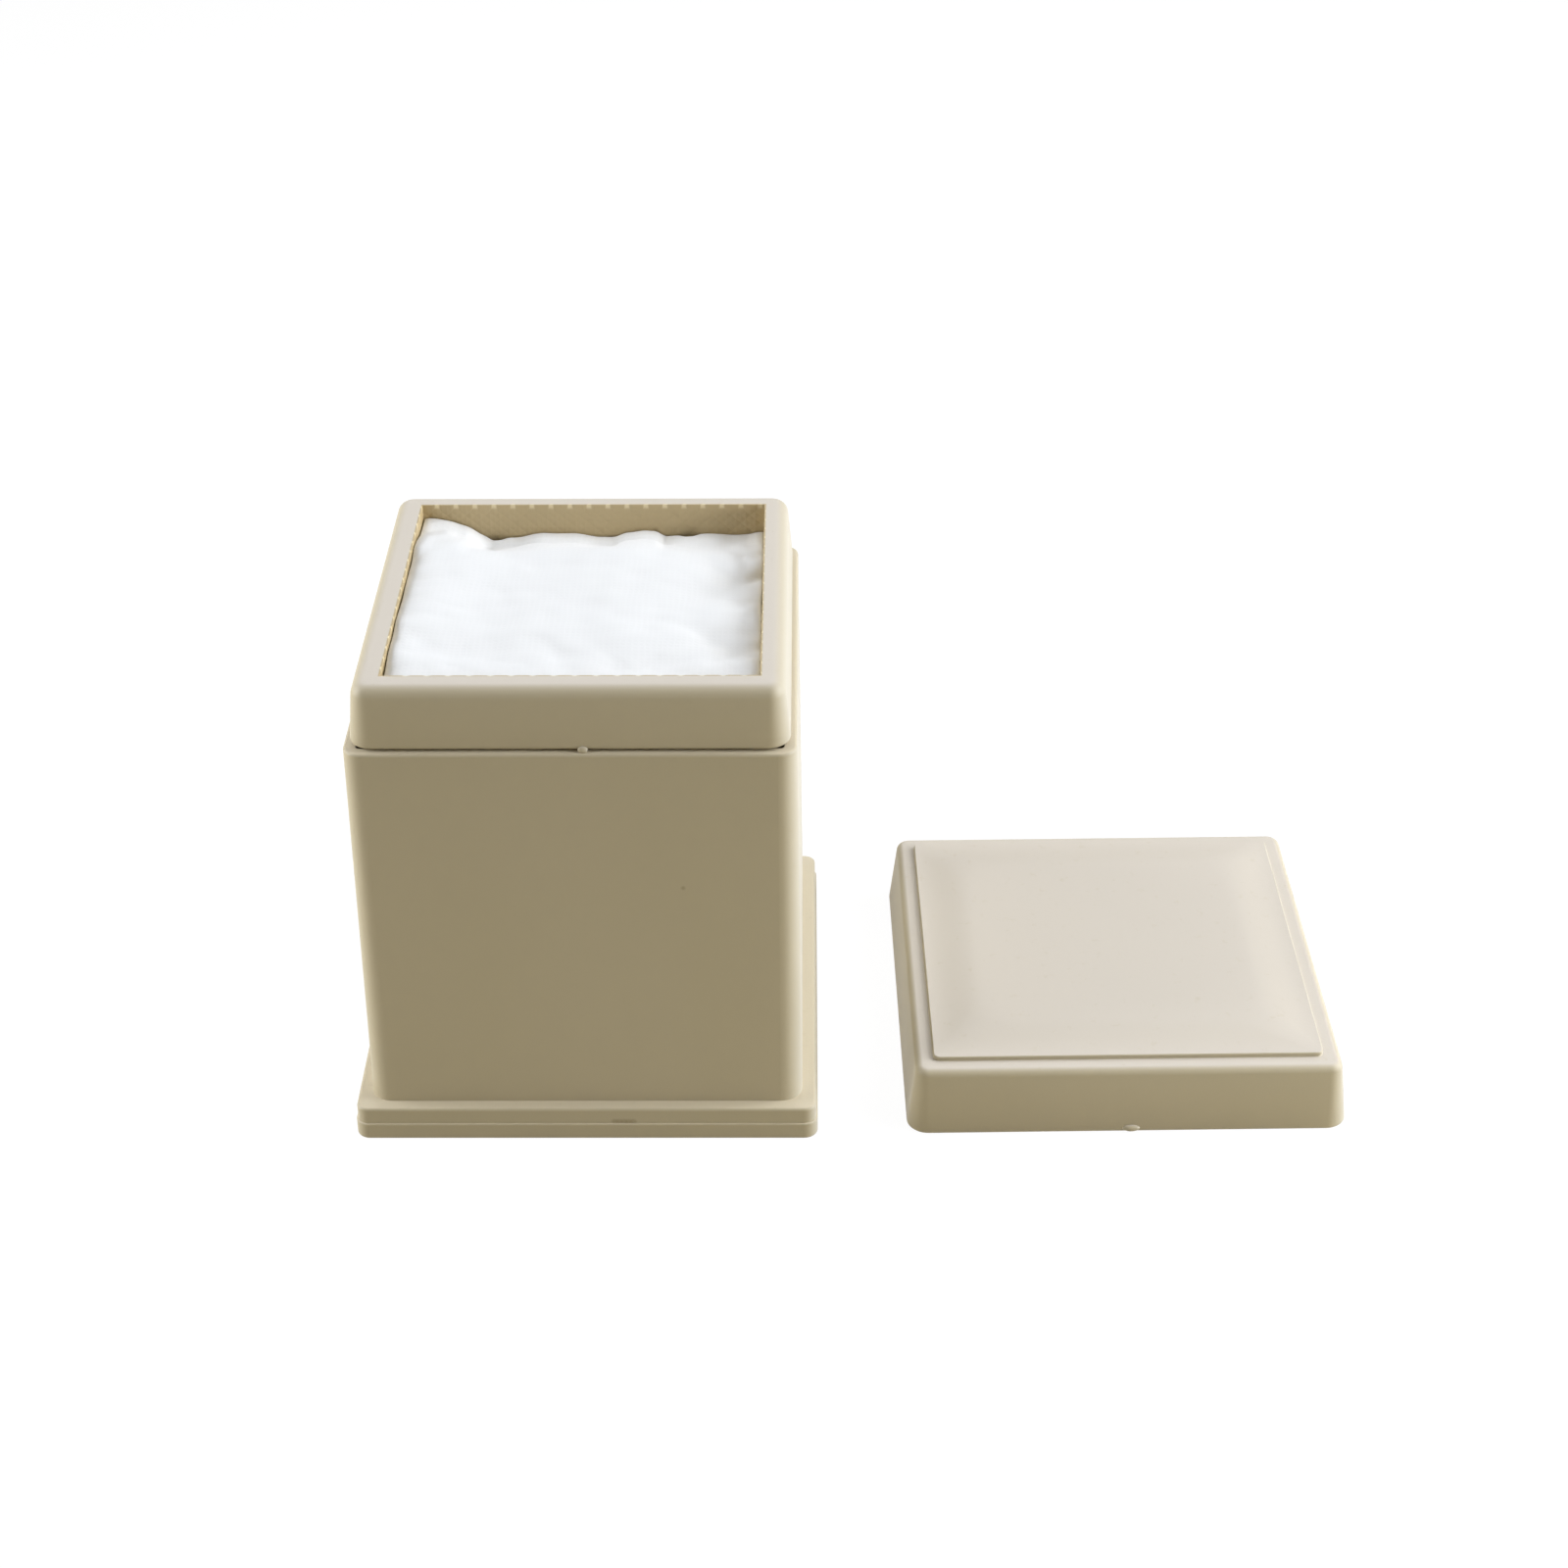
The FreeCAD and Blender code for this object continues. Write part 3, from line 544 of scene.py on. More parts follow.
def beige_plastic(name, seed, marks=(), window=0.0, sheen_colour=BEIGE_TOP_PAINTED_SHEEN):
    """Satin beige moulded plastic with flow clouding, a fine mould grain and a few small marks.

    Faces that look up get a paler painted sheen, standing in for light from above, and those that
    look to the right a greyer painted sheen, standing in for light from the right. The walls of a
    window of the given half width get a deeper painted shade, apart from their notches, whose
    upper facets get a painted highlight.
    """
    finish = Finish(name, IOR=1.47)
    place = finish.place()
    shifted = finish.vector("ADD", place, (seed * 0.37, seed * 0.11, 0))
    clouding = finish.clouds(finish.stretched(shifted, (1, 1, 0.4)), 22.0, 3.0)
    freckle = finish.clouds(shifted, 1.6, 3.0, 0.6)
    facing = finish.add("ShaderNodeNewGeometry", output="Normal")
    body = finish.mix(clouding.ramp(0.3, 0.7) * 0.4, colour(*BEIGE), colour(*BEIGE_DEEP))
    # Faces that look to the right get a greyer painted sheen, standing in for light from the right
    body = finish.mix(finish.axis(facing, "X").at_least(0.0) ** 2, body, colour(*BEIGE_RIGHT_PAINTED_SHEEN))
    # Faces that look up get a paler painted sheen, standing in for light from above
    painted_sheen = finish.axis(facing, "Z").at_least(0.0) ** 8
    if window:
        reach = finish.vector("ABSOLUTE", finish.vector("SUBTRACT", place, WINDOW_CENTRE * MM))
        widest = finish.axis(reach, "X").at_least(finish.axis(reach, "Y"))
        notch = finish.add("ShaderNodeAttribute", {"attribute_name": NOTCH_MARK}, output="Fac")
        outside = widest.ramp((window + INSIDE_ENDS) * MM, (window + OUTSIDE_STARTS) * MM)
        # The window walls get a darker painted shade
        body = finish.mix(outside, colour(*BEIGE_WINDOW_PAINTED_SHADE), body)
        # The notches at the rim get a painted highlight, standing in for light on their upper facets
        body = finish.mix(notch.ramp(0.14, 0.38), body, colour(*BEIGE_NOTCH_PAINTED_HIGHLIGHT))
        painted_sheen = painted_sheen * outside
    body = finish.mix(painted_sheen, body, colour(*sheen_colour))
    body = finish.mix(freckle.ramp(0.6, 0.8) * 0.3, body, colour(*BEIGE_DEEP))
    for centre, size, strength in marks:
        body = finish.mix(spot(finish, place, centre, size) * strength, body, colour(*MARK))
    finish.paint("Base Color", body)
    grain = finish.clouds(shifted, 0.45, 2.0)
    scuff = finish.clouds(finish.stretched(shifted, (0.12, 0.12, 1)), 0.9, 2.0).ramp(0.6, 0.8)
    finish.paint("Roughness", 0.4 + grain * 0.1 + clouding * 0.06 - scuff * 0.06)
    finish.bump(grain * 0.5 + clouding + scuff * 0.3, 0.02)
    return finish.material


def white_plastic():
    """Satin white plastic of the follower."""
    finish = Finish("white_plastic", IOR=1.47)
    place = finish.place()
    clouding = finish.clouds(place, 12.0, 2.0)
    finish.paint("Base Color", finish.mix(clouding, colour(*FOLLOWER_WHITE), colour(*FOLLOWER_BRIGHT)))
    grain = finish.clouds(place, 0.5, 2.0)
    finish.paint("Roughness", 0.38 + grain * 0.12)
    finish.bump(grain, 0.015)
    return finish.material


def spring_steel():
    """Drawn steel wire with fine drawing lines and a faint tarnish."""
    finish = Finish("spring_steel", Metallic=1.0)
    place = finish.place()
    tarnish = finish.clouds(place, 6.0, 3.0)
    finish.paint("Base Color", finish.mix(tarnish, colour(*STEEL), colour(*STEEL_TARNISHED)))
    drawing = finish.clouds(finish.stretched(place, (0.2, 0.2, 4)), 0.4, 2.0)
    finish.paint("Roughness", 0.22 + drawing * 0.18)
    finish.bump(drawing, 0.01)
    return finish.material


def cotton_gauze():
    """Bleached cotton gauze: an open plain weave with fuzz between the threads."""
    finish = Finish("cotton_gauze", Roughness=0.92, IOR=1.35)
    weave = finish.add("ShaderNodeTexCoord", output="UV")
    drift = finish.add(
        "ShaderNodeTexNoise", {}, {"Vector": weave, "Scale": 0.16, "Detail": 1.0}, output="Color"
    )
    moved = finish.add("ShaderNodeVectorMath", {"operation": "MULTIPLY_ADD"},
                       {0: drift, 1: (0.9, 0.9, 0.0), 2: weave})
    turns = 2 * math.pi / THREAD_PITCH
    warp = (finish.axis(moved, "X") * turns).wave()
    weft = (finish.axis(moved, "Y") * turns).wave()
    threads = warp.at_least(weft) ** 1.5
    fuzz = finish.add(
        "ShaderNodeTexNoise", {}, {"Vector": weave, "Scale": 2.2, "Detail": 3.0, "Roughness": 0.6},
        output="Fac",
    )
    cover = (threads * 0.6 + fuzz * 0.6).clamped()
    finish.paint("Base Color", finish.mix(cover, colour(*COTTON), colour(*COTTON_THREAD)))
    finish.bump(threads * 0.5 + fuzz * 0.9, 0.08, 0.2)
    return finish.material


def knurl(material):
    """The knurled walls of the window and the narrow land round them at the rim."""
    tree = Tree(
        "knurled_walls", Columns=KNURL_COLUMNS, Rows=KNURL_ROWS, Row=KNURL_ROW * MM,
        Pitch=KNURL_PITCH, Half=WINDOW * MM, Fine=KNURL_FINE * MM, Pit=KNURL_PIT * MM,
        Notch=KNURL_NOTCH * MM, Extra=NOTCH_EXTRA * MM, Land=KNURL_LAND * MM, Rim=RIM * MM,
    )
    size = tree.inputs
    maths = tree.maths
    width = maths("MULTIPLY", size["Half"], 2.0)
    height = maths("MULTIPLY", size["Rows"], size["Row"])
    half_height = maths("DIVIDE", height, 2.0)
    cell = maths("DIVIDE", width, size["Columns"])

    def counts(rounding):
        """Column of the points or faces of the grid, and their row counted down from the rim."""
        across = tree.add("ShaderNodeSeparateXYZ", Vector=tree.add("GeometryNodeInputPosition"))
        up = across.node.outputs[1]
        column = maths(rounding, maths("DIVIDE", maths("ADD", across, size["Half"]), cell))
        level = maths(rounding, maths("DIVIDE", maths("ADD", up, half_height), size["Row"]))
        return column, maths("SUBTRACT", size["Rows"], level)

    def every(step, *numbers):
        """1 where the sum of the numbers is a whole multiple of the step, and 0 elsewhere."""
        total = numbers[0]
        for number in numbers[1:]:
            total = maths("ADD", total, number)
        return maths("LESS_THAN", maths("MODULO", total, step), 0.5)

    grid = tree.add("GeometryNodeMeshGrid", Size_X=width, Size_Y=height,
                    Vertices_X=maths("ADD", size["Columns"], 1.0),
                    Vertices_Y=maths("ADD", size["Rows"], 1.0))
    even_face = every(2.0, *counts("FLOOR"))
    odd_face = maths("SUBTRACT", 1.0, even_face)
    split = tree.add("GeometryNodeTriangulate", {"quad_method": "FIXED"}, Mesh=grid, Selection=odd_face)
    split = tree.add("GeometryNodeTriangulate", {"quad_method": "FIXED_ALTERNATE"}, Mesh=split,
                     Selection=even_face)

    column, row = counts("ROUND")
    at_rim = maths("LESS_THAN", row, 0.5)
    from_end = maths("MINIMUM", column, maths("SUBTRACT", size["Columns"], column))
    from_edge = maths("MINIMUM", from_end, maths("SUBTRACT", size["Rows"], row))
    inside = maths("GREATER_THAN", from_edge, 0.5)
    fine = maths("MULTIPLY", every(2.0, column, row, 1.0), maths("SUBTRACT", 1.0, at_rim))
    pit = maths("MULTIPLY", every(size["Pitch"], column, row, 1.0), every(2.0, row))
    notch = maths("MULTIPLY", pit, at_rim)
    depth = maths("MULTIPLY", fine, size["Fine"])
    depth = maths("MAXIMUM", depth, maths("MULTIPLY", pit, size["Pit"]))
    depth = maths("MAXIMUM", depth, maths("MULTIPLY", notch, size["Notch"]))
    depth = maths("MULTIPLY", maths("MULTIPLY", depth, inside), -1.0)
    marked = tree.add("GeometryNodeStoreNamedAttribute", {"data_type": "FLOAT", "domain": "POINT"},
                      Geometry=split, Name=NOTCH_MARK, Value=maths("MULTIPLY", notch, inside))
    relief = tree.add("GeometryNodeSetPosition", Geometry=marked, Offset=tree.add(
        "ShaderNodeCombineXYZ", Y=maths("MULTIPLY", at_rim, size["Extra"]), Z=depth))
    middle = maths("SUBTRACT", size["Rim"], maths("ADD", half_height, size["Extra"]))
    wall = tree.add(
        "GeometryNodeTransform", Geometry=relief, Rotation=(math.pi / 2, 0, 0),
        Translation=tree.add("ShaderNodeCombineXYZ", Y=size["Half"], Z=middle),
    )

    strip = tree.add("GeometryNodeMeshGrid", Size_X=width, Size_Y=0.0,
                     Vertices_X=maths("ADD", size["Columns"], 1.0), Vertices_Y=2)
    index = tree.add("GeometryNodeInputIndex")
    outer = maths("GREATER_THAN", maths("MODULO", index, 2.0), 0.5)
    inner = maths("SUBTRACT", 1.0, outer)
    strip_column = maths("FLOOR", maths("DIVIDE", index, 2.0))
    notched = maths("MULTIPLY", every(size["Pitch"], strip_column, 1.0), inner)
    notched = maths("MULTIPLY", notched, size["Notch"])
    place = tree.add("ShaderNodeSeparateXYZ", Vector=tree.add("GeometryNodeInputPosition"))
    spread = maths("MULTIPLY", maths("DIVIDE", place, size["Half"]), size["Land"])
    land = tree.add("GeometryNodeSetPosition", Geometry=strip, Offset=tree.add(
        "ShaderNodeCombineXYZ", X=maths("MULTIPLY", spread, outer),
        Y=maths("ADD", notched, maths("MULTIPLY", size["Land"], outer))))
    land = tree.add("GeometryNodeTransform", Geometry=land,
                    Translation=tree.add("ShaderNodeCombineXYZ", Y=size["Half"], Z=size["Rim"]))

    side = tree.join(wall, land)
    walls = tree.join(*[
        tree.add("GeometryNodeTransform", Geometry=side, Rotation=(0, 0, math.pi / 2 * quarter))
        for quarter in range(4)
    ])
    closed = tree.add("GeometryNodeMergeByDistance", Geometry=walls, Distance=KNURL_WELD * MM)
    return tree.grow("knurl", closed, material)


def make_collar(material):
    """The collar: a hollow frame with a rounded rim, its sleeve, lugs and knurled window."""
    foot_round = 0.5
    height = RIM - LEDGE
    web_foot = RIM - COLLAR_WEB
    shoulder = COLLAR_FOOT - COLLAR_DRAFT * (height - COLLAR_ROUND) / height
    sleeve = WINDOW + SLEEVE_WALL
    gap_top = LEDGE + FOOT_GAP
    gap_end = COLLAR_FOOT - FOOT_GAP_REACH
    outer = with_corners(
        [(gap_end, LEDGE), (gap_end, gap_top)]
        + arc(COLLAR_FOOT - foot_round, gap_top + foot_round, foot_round, -90, 0, 3)
        + arc(shoulder - COLLAR_ROUND, RIM - COLLAR_ROUND, COLLAR_ROUND, 0, 90, 9),
        COLLAR_FOOT, COLLAR_CORNER,
    )
    inner = [
        (WINDOW, 0.0, KNURL_FOOT),
        (WINDOW, 0.0, SLEEVE_FOOT + SMALL_ROUND),
        (WINDOW + SMALL_ROUND, 0.0, SLEEVE_FOOT),
    ]
    rim_edge = [(WINDOW + KNURL_LAND, 0.0, RIM)]
    back = with_corners(
        arc(sleeve - SMALL_ROUND, SLEEVE_FOOT + SMALL_ROUND, SMALL_ROUND, 270, 360, 3)
        + [(sleeve, web_foot), (COLLAR_SKIN, web_foot), (COLLAR_SKIN, LEDGE)],
        sleeve, SLEEVE_CORNER,
    )
    profile = inner + back + outer + rim_edge
    points, faces = skin(profile, caps=False)
    around = len(points) // len(profile)
    for index in [*range(around * len(inner)), *range(len(points) - around, len(points))]:
        points[index] = points[index] + WINDOW_CENTRE
    things = [mesh_object("collar_shell", points, faces)]
    for side in range(4):
        for offset in (-LUG_OFFSET, LUG_OFFSET):
            low = (offset - LUG_WIDTH / 2, sleeve - SLEEVE_WALL / 2, SLEEVE_FOOT)
            high = (offset + LUG_WIDTH / 2, LUG_TIP, LEDGE)
            lug = mesh_object("collar_lug", *block(low, high))
            lug.data.transform(Matrix.Rotation(math.pi / 2 * side, 4, "Z"))
            things.append(lug)
    things.append(gate_nub("collar_gate", COLLAR_GATE, COLLAR_GATE_REACH))
    for thing in things:
        thing.data.materials.append(material)
    walls = knurl(material)
    walls.data.transform(Matrix.Translation(WINDOW_CENTRE * MM))
    things.append(walls)
    return join("knurled_collar", things)


def make_lid(material):
    """The lid: a cap with a cavity, a flat border, a stepped panel and a soft pillow."""
    foot_round = 0.35
    top = LID_FOOT - LID_DRAFT
    shoulder = top + LID_DRAFT * LID_ROUND / LID_HEIGHT
    step_round = 0.12
    panel_level = LID_HEIGHT + PANEL_STEP
    cavity_top = LID_CAVITY - LID_CAVITY_DRAFT
    cavity = [
        (cavity_top - CAVITY_BEVEL, CAVITY_CORNER - CAVITY_BEVEL, LID_DEPTH),
        (cavity_top, CAVITY_CORNER, LID_DEPTH - CAVITY_BEVEL),
        (LID_CAVITY - MOUTH_DRAFT, CAVITY_CORNER, MOUTH_LEVEL),
        (LID_CAVITY + MOUTH_BEVEL, MOUTH_CORNER, 0),
    ]
    outer = with_corners(
        arc(LID_FOOT - foot_round, foot_round, foot_round, -90, 0, 3)
        + arc(shoulder - LID_ROUND, LID_HEIGHT - LID_ROUND, LID_ROUND, 0, 90, 9),
        LID_FOOT, LID_CORNER,
    )
    step = [
        (PANEL + PANEL_FILLET, PANEL_CORNER + PANEL_FILLET, LID_HEIGHT),
        (PANEL, PANEL_CORNER, LID_HEIGHT + PANEL_FILLET),
        (PANEL, PANEL_CORNER, panel_level - step_round),
        (PANEL - step_round, PILLOW_CORNER, panel_level),
    ]
    pillow = []
    stations = 14
    for station in range(1, stations + 1):
        share = station / stations
        rise = PILLOW_RISE * share * share * (3 - 2 * share)
        half = PANEL - step_round - PILLOW_SLOPE * share
        pillow.append((half, PILLOW_CORNER + PILLOW_CORNER_GAIN * share, panel_level + rise))
    largest_corner = PILLOW_CORNER + PILLOW_CORNER_GAIN
    for share in (0.25, 0.5, 0.75, 0.95):
        half = (PANEL - PILLOW_SLOPE) * (1 - share)
        level = panel_level + PILLOW_RISE + PILLOW_CROWN * (1 - (1 - share) ** 2)
        pillow.append((half, min(largest_corner, 0.6 * half), level))
    lid = mesh_object("lid_shell", *skin(cavity + outer + step + pillow))
    gate = gate_nub("lid_gate", LID_GATE, LID_GATE_REACH)
    for thing in (lid, gate):
        thing.data.materials.append(material)
    lid = join("pillow_lid", [lid, gate])
    place = Matrix.Translation(LID_CENTRE * MM) @ Matrix.Rotation(LID_TURN, 4, "Z")
    lid.data.transform(place)
    return lid


def hill(x, y, centre, radius, height):
    """A soft hill or hollow about a point, in millimetres."""
    apart = ((x - centre[0]) / radius[0]) ** 2 + ((y - centre[1]) / radius[1]) ** 2
    return height * math.exp(-apart)


def crease(x, y, start, end, width, depth):
    """A valley along a line from start to end, which fades out at its end."""
    along = Vector((end[0] - start[0], end[1] - start[1]))
    reach = Vector((x - start[0], y - start[1]))
    share = max(0.0, min(1.0, reach.dot(along) / along.length_squared))
    apart = (reach - along * share).length / (width * (0.6 + 0.8 * share))
    return -depth * (1 - 0.75 * share) * math.exp(-apart * apart)


# The upper face of the top sponge, in millimetres. Depths are below the rim, at places along
# each side.
EDGE_DEPTHS = {
    "rear": [(-26, 2.5), (-23, 3.2), (-20, 4.1), (-15.5, 6.0), (-12.5, 6.0), (-7.5, 5.1), (-3, 5.0),
             (1, 5.6), (3, 5.6), (5.5, 4.6), (8, 4.3), (9.5, 4.5), (11.5, 5.8), (24, 5.5), (26, 4.8)],
    "left": [(-26, 0.35), (-15, 0.3), (0, 0.35), (14, 0.5), (26, 1.7)],
    "right": [(-26, 2.2), (-14, 2.4), (-6, 2.0), (5, 2.9), (12, 2.5), (26, 4.4)],
    "front": [(-26, 1.1), (-10, 1.3), (10, 1.5), (26, 2.0)],
}
EDGE_REACH = 5.5
EDGE_WEIGHT = 6
MIDDLE_DEPTH = 1.7

# Start, end, width and depth of each crease
CREASES = [
    ((27, 9), (17, -1), 2.6, 0.8),
    ((27, -14), (21, -18), 2.2, 0.5),
    ((27, 16), (15, 13), 3.0, 0.5),
    ((-18, 27), (-11, 15), 3.0, 0.6),
]

# Centre, radius and height of each hill or hollow
HILLS = [
    ((-20, -16), (5, 6), -0.5),
    ((20, -7), (4, 5), 0.5),
    ((2, 12), (14, 7), 0.35),
    ((-4, -10), (12, 8), 0.3),
]

# The valley along the rear edge, and the roll of the left edge
FOLD_START = -18
FOLD_END = 11
FOLD_LINE = 23.2
FOLD_WIDTH = 1.0
FOLD_DEPTH = 0.7
ROLL_WIDTH = 1.2
ROLL_DEPTH = 0.25


def edge_depth(side, place):
    """Depth of the top sponge's edge below the rim, smoothly along one side."""
    stations = EDGE_DEPTHS[side]
    for (start, first), (end, last) in zip(stations, stations[1:]):
        if place <= end:
            share = max(0.0, (place - start) / (end - start))
            share = share * share * (3 - 2 * share)
            return first + (last - first) * share
    return stations[-1][1]


def rear_fold(x, y):
    """The narrow valley in front of the folded lip along the rear edge."""
    start = 1 / (1 + math.exp((FOLD_START - x) * 0.8))
    end = 1 / (1 + math.exp((x - FOLD_END) * 0.6))
    line = FOLD_LINE + 0.4 * math.sin(x * 0.35)
    return -FOLD_DEPTH * start * end * math.exp(-(((y - line) / FOLD_WIDTH) ** 2))


def left_roll(x):
    """How far the upper face rolls down into the gap at the left wall."""
    return -ROLL_DEPTH * math.exp(-(((x + TOP_SHEET) / ROLL_WIDTH) ** 2))


def top_of_gauze(x, y):
    """Level of the crumpled top sponge's upper face, in millimetres."""
    to_edge = {"rear": SPONGE - y, "front": SPONGE + y, "left": SPONGE + x, "right": SPONGE - x}
    depth = MIDDLE_DEPTH
    weight = 1.0
    for side, apart in to_edge.items():
        pull = math.exp(-((max(apart, 0.0) / EDGE_REACH) ** 2)) * EDGE_WEIGHT
        depth += edge_depth(side, x if side in ("rear", "front") else y) * pull
        weight += pull
    level = RIM - depth / weight + rear_fold(x, y) + left_roll(x)
    level += sum(crease(x, y, *sizes) for sizes in CREASES)
    level += sum(hill(x, y, *sizes) for sizes in HILLS)
    ripple = noise.noise(Vector((x * 0.09, y * 0.12, 3.1))) * 0.6
    ripple += noise.noise(Vector((x * 0.25, y * 0.28, 7.7))) * 0.22
    return level + ripple


def near_rib(x):
    """1 in front of the two guide ribs of the rear wall, and 0 away from them."""
    return math.exp(-(((abs(x) - RIB_OFFSET) / RIB_REACH) ** 4))


def drawn_in(x, share):
    """How far an edge moves along Y to keep clear of the housing.

    The share runs from -1 at the front edge to 1 at the rear edge.
    """
    near_edge = share ** 12
    if share < 0:
        return FRONT_DRAWN_IN * near_edge
    return -RIB_DRAWN_IN * near_edge * near_rib(x)


def thread_map(sheet, threads):
    """Give a sheet its thread coordinates, one pair to a point."""
    layer = sheet.data.uv_layers.new(name="UVMap")
    for loop in sheet.data.loops:
        layer.data[loop.index].uv = threads[loop.vertex_index]


def leaf_sheet(name, half, cells, lift, wander, seed, centre=(0, 0), fitted=False):
    """An open grid of one folded leaf, with slightly wavy edges and thread coordinates.

    A fitted leaf has its edges drawn in to keep clear of the housing.
    """
    points, faces, threads = [], [], []
    for row in range(cells + 1):
        for column in range(cells + 1):
            x = half * (2 * column / cells - 1)
            y = half * (2 * row / cells - 1)
            sway = Vector((y * 0.16, x * 0.16, seed * 5.3))
            moved_x = centre[0] + x + wander * noise.noise(sway) * (x / half) ** 6
            other_sway = sway + Vector((9, 4, 0))
            moved_y = centre[1] + y + wander * noise.noise(other_sway) * (y / half) ** 6
            if fitted:
                moved_y += drawn_in(moved_x, y / half)
            points.append((moved_x, moved_y, lift(moved_x, moved_y)))
            threads.append((x, y))
    for row in range(cells):
        for column in range(cells):
            corner = row * (cells + 1) + column
            faces.append((corner, corner + 1, corner + cells + 2, corner + cells + 1))
    sheet = mesh_object(name, points, faces)
    thread_map(sheet, threads)
    return sheet


def plump(sheet, thickness, cells):
    """Close an open leaf into a flat pad of the given thickness with rounded fold edges."""
    mesh = sheet.data
    count = len(mesh.vertices)
    half = thickness / 2
    points, faces, threads = [], [], []
    layer = mesh.uv_layers["UVMap"]
    uv_of = {}
    for loop in mesh.loops:
        uv_of[loop.vertex_index] = tuple(layer.data[loop.index].uv)
    on_edge = {start for start, end in boundary(cells)}
    for side in (1, -1):
        for vertex in mesh.vertices:
            rise = LEAF_EDGE if vertex.index in on_edge else 1.0
            points.append(vertex.co / MM + vertex.normal * half * side * rise)
            threads.append(uv_of[vertex.index])
    for polygon in mesh.polygons:
        corners = tuple(polygon.vertices)
        faces.append(corners)
        faces.append(tuple(index + count for index in reversed(corners)))
    for start, end in boundary(cells):
        faces.append((end, start, start + count, end + count))
    plumped = mesh_object(sheet.name + "_pad", points, faces, sharp=80)
    thread_map(plumped, threads)
    bpy.data.objects.remove(sheet)
    return plumped


def boundary(cells):
    """Pairs of neighbouring points round a grid, anticlockwise."""
    across = cells + 1
    front = list(range(0, cells))
    right = [cells + across * row for row in range(cells)]
    rear = [across * cells + column for column in range(cells, 0, -1)]
    left = [across * row for row in range(cells, 0, -1)]
    loop = front + right + rear + left
    return list(zip(loop, loop[1:] + loop[:1]))


def rumple(sheet, cells, frames=20, largest_move=1.3, share=0.25):
    """Let a pinned cloth that is a little too large for its place buckle into soft creases.

    It is simulated at a larger scale, and a share of each move, up to the largest, is kept.
    """
    mesh = sheet.data
    rest = [vertex.co.copy() for vertex in mesh.vertices]
    mesh.transform(Matrix.Scale(SIMULATION_SCALE, 4))
    pins = sheet.vertex_groups.new(name="pins")
    for row in range(cells + 1):
        for column in range(cells + 1):
            inset = min(row, column, cells - row, cells - column)
            pins.add([row * (cells + 1) + column], max(0.0, 1 - inset / 2), "REPLACE")
    cloth = sheet.modifiers.new("cloth", "CLOTH")
    cloth.settings.vertex_group_mass = "pins"
    cloth.settings.quality = 8
    cloth.settings.mass = 0.15
    cloth.settings.tension_stiffness = 20
    cloth.settings.compression_stiffness = 20
    cloth.settings.shear_stiffness = 8
    cloth.settings.bending_stiffness = 1.2
    cloth.settings.shrink_min = -0.035
    cloth.settings.use_pressure = True
    cloth.settings.uniform_pressure_force = 0.6
    cloth.settings.effector_weights.gravity = 0
    cloth.point_cache.frame_start = 1
    cloth.point_cache.frame_end = frames
    scene = bpy.context.scene
    for number in range(1, frames + 1):
        scene.frame_set(number)
    evaluated = sheet.evaluated_get(bpy.context.evaluated_depsgraph_get())
    moved = [vertex.co / SIMULATION_SCALE for vertex in evaluated.data.vertices]
    sheet.modifiers.remove(cloth)
    sheet.vertex_groups.remove(pins)
    for vertex, old, new in zip(mesh.vertices, rest, moved):
        step = new - old
        if step.length > largest_move * MM:
            step *= largest_move * MM / step.length
        vertex.co = old + step * share
    scene.frame_set(1)
    mesh.update()


def make_top_sponge(material):
    """The crumpled top sponge: leaves that follow its hills more and more towards the top."""
    foot = top_sponge_low.z
    leaves = []
    for level in range(LEAVES_IN_A_SPONGE):
        share = (level + 1) / LEAVES_IN_A_SPONGE
        topmost = level == LEAVES_IN_A_SPONGE - 1
        cells = 96 if topmost else 56

        def lift(x, y):
            free = top_of_gauze(x, y) - foot
            slack = max(0.0, free - TOP_LEAF * LEAVES_IN_A_SPONGE)
            return foot + TOP_LEAF * (level + 0.5) + slack * share ** 0.6

        half = TOP_SHEET if topmost else TOP_SHEET - LEAF_INSET + 0.1 * math.sin(level * 2.1)
        sheet = leaf_sheet(f"gauze_leaf_{level}", half, cells, lift, SHEET_WANDER, level + 1,
                           TOP_SHEET_CENTRE, fitted=True)
        if topmost:
            rumple(sheet, cells)
        pad = plump(sheet, TOP_LEAF, cells)
        rounding = pad.modifiers.new("soften", "SUBSURF")
        rounding.levels = 1
        rounding.render_levels = 1
        smooth = evaluated_mesh(pad)
        pad.modifiers.remove(rounding)
        pad.data = smooth
        pad.data.materials.append(material)
        leaves.append(pad)
    return join("top_gauze_sponge", leaves)


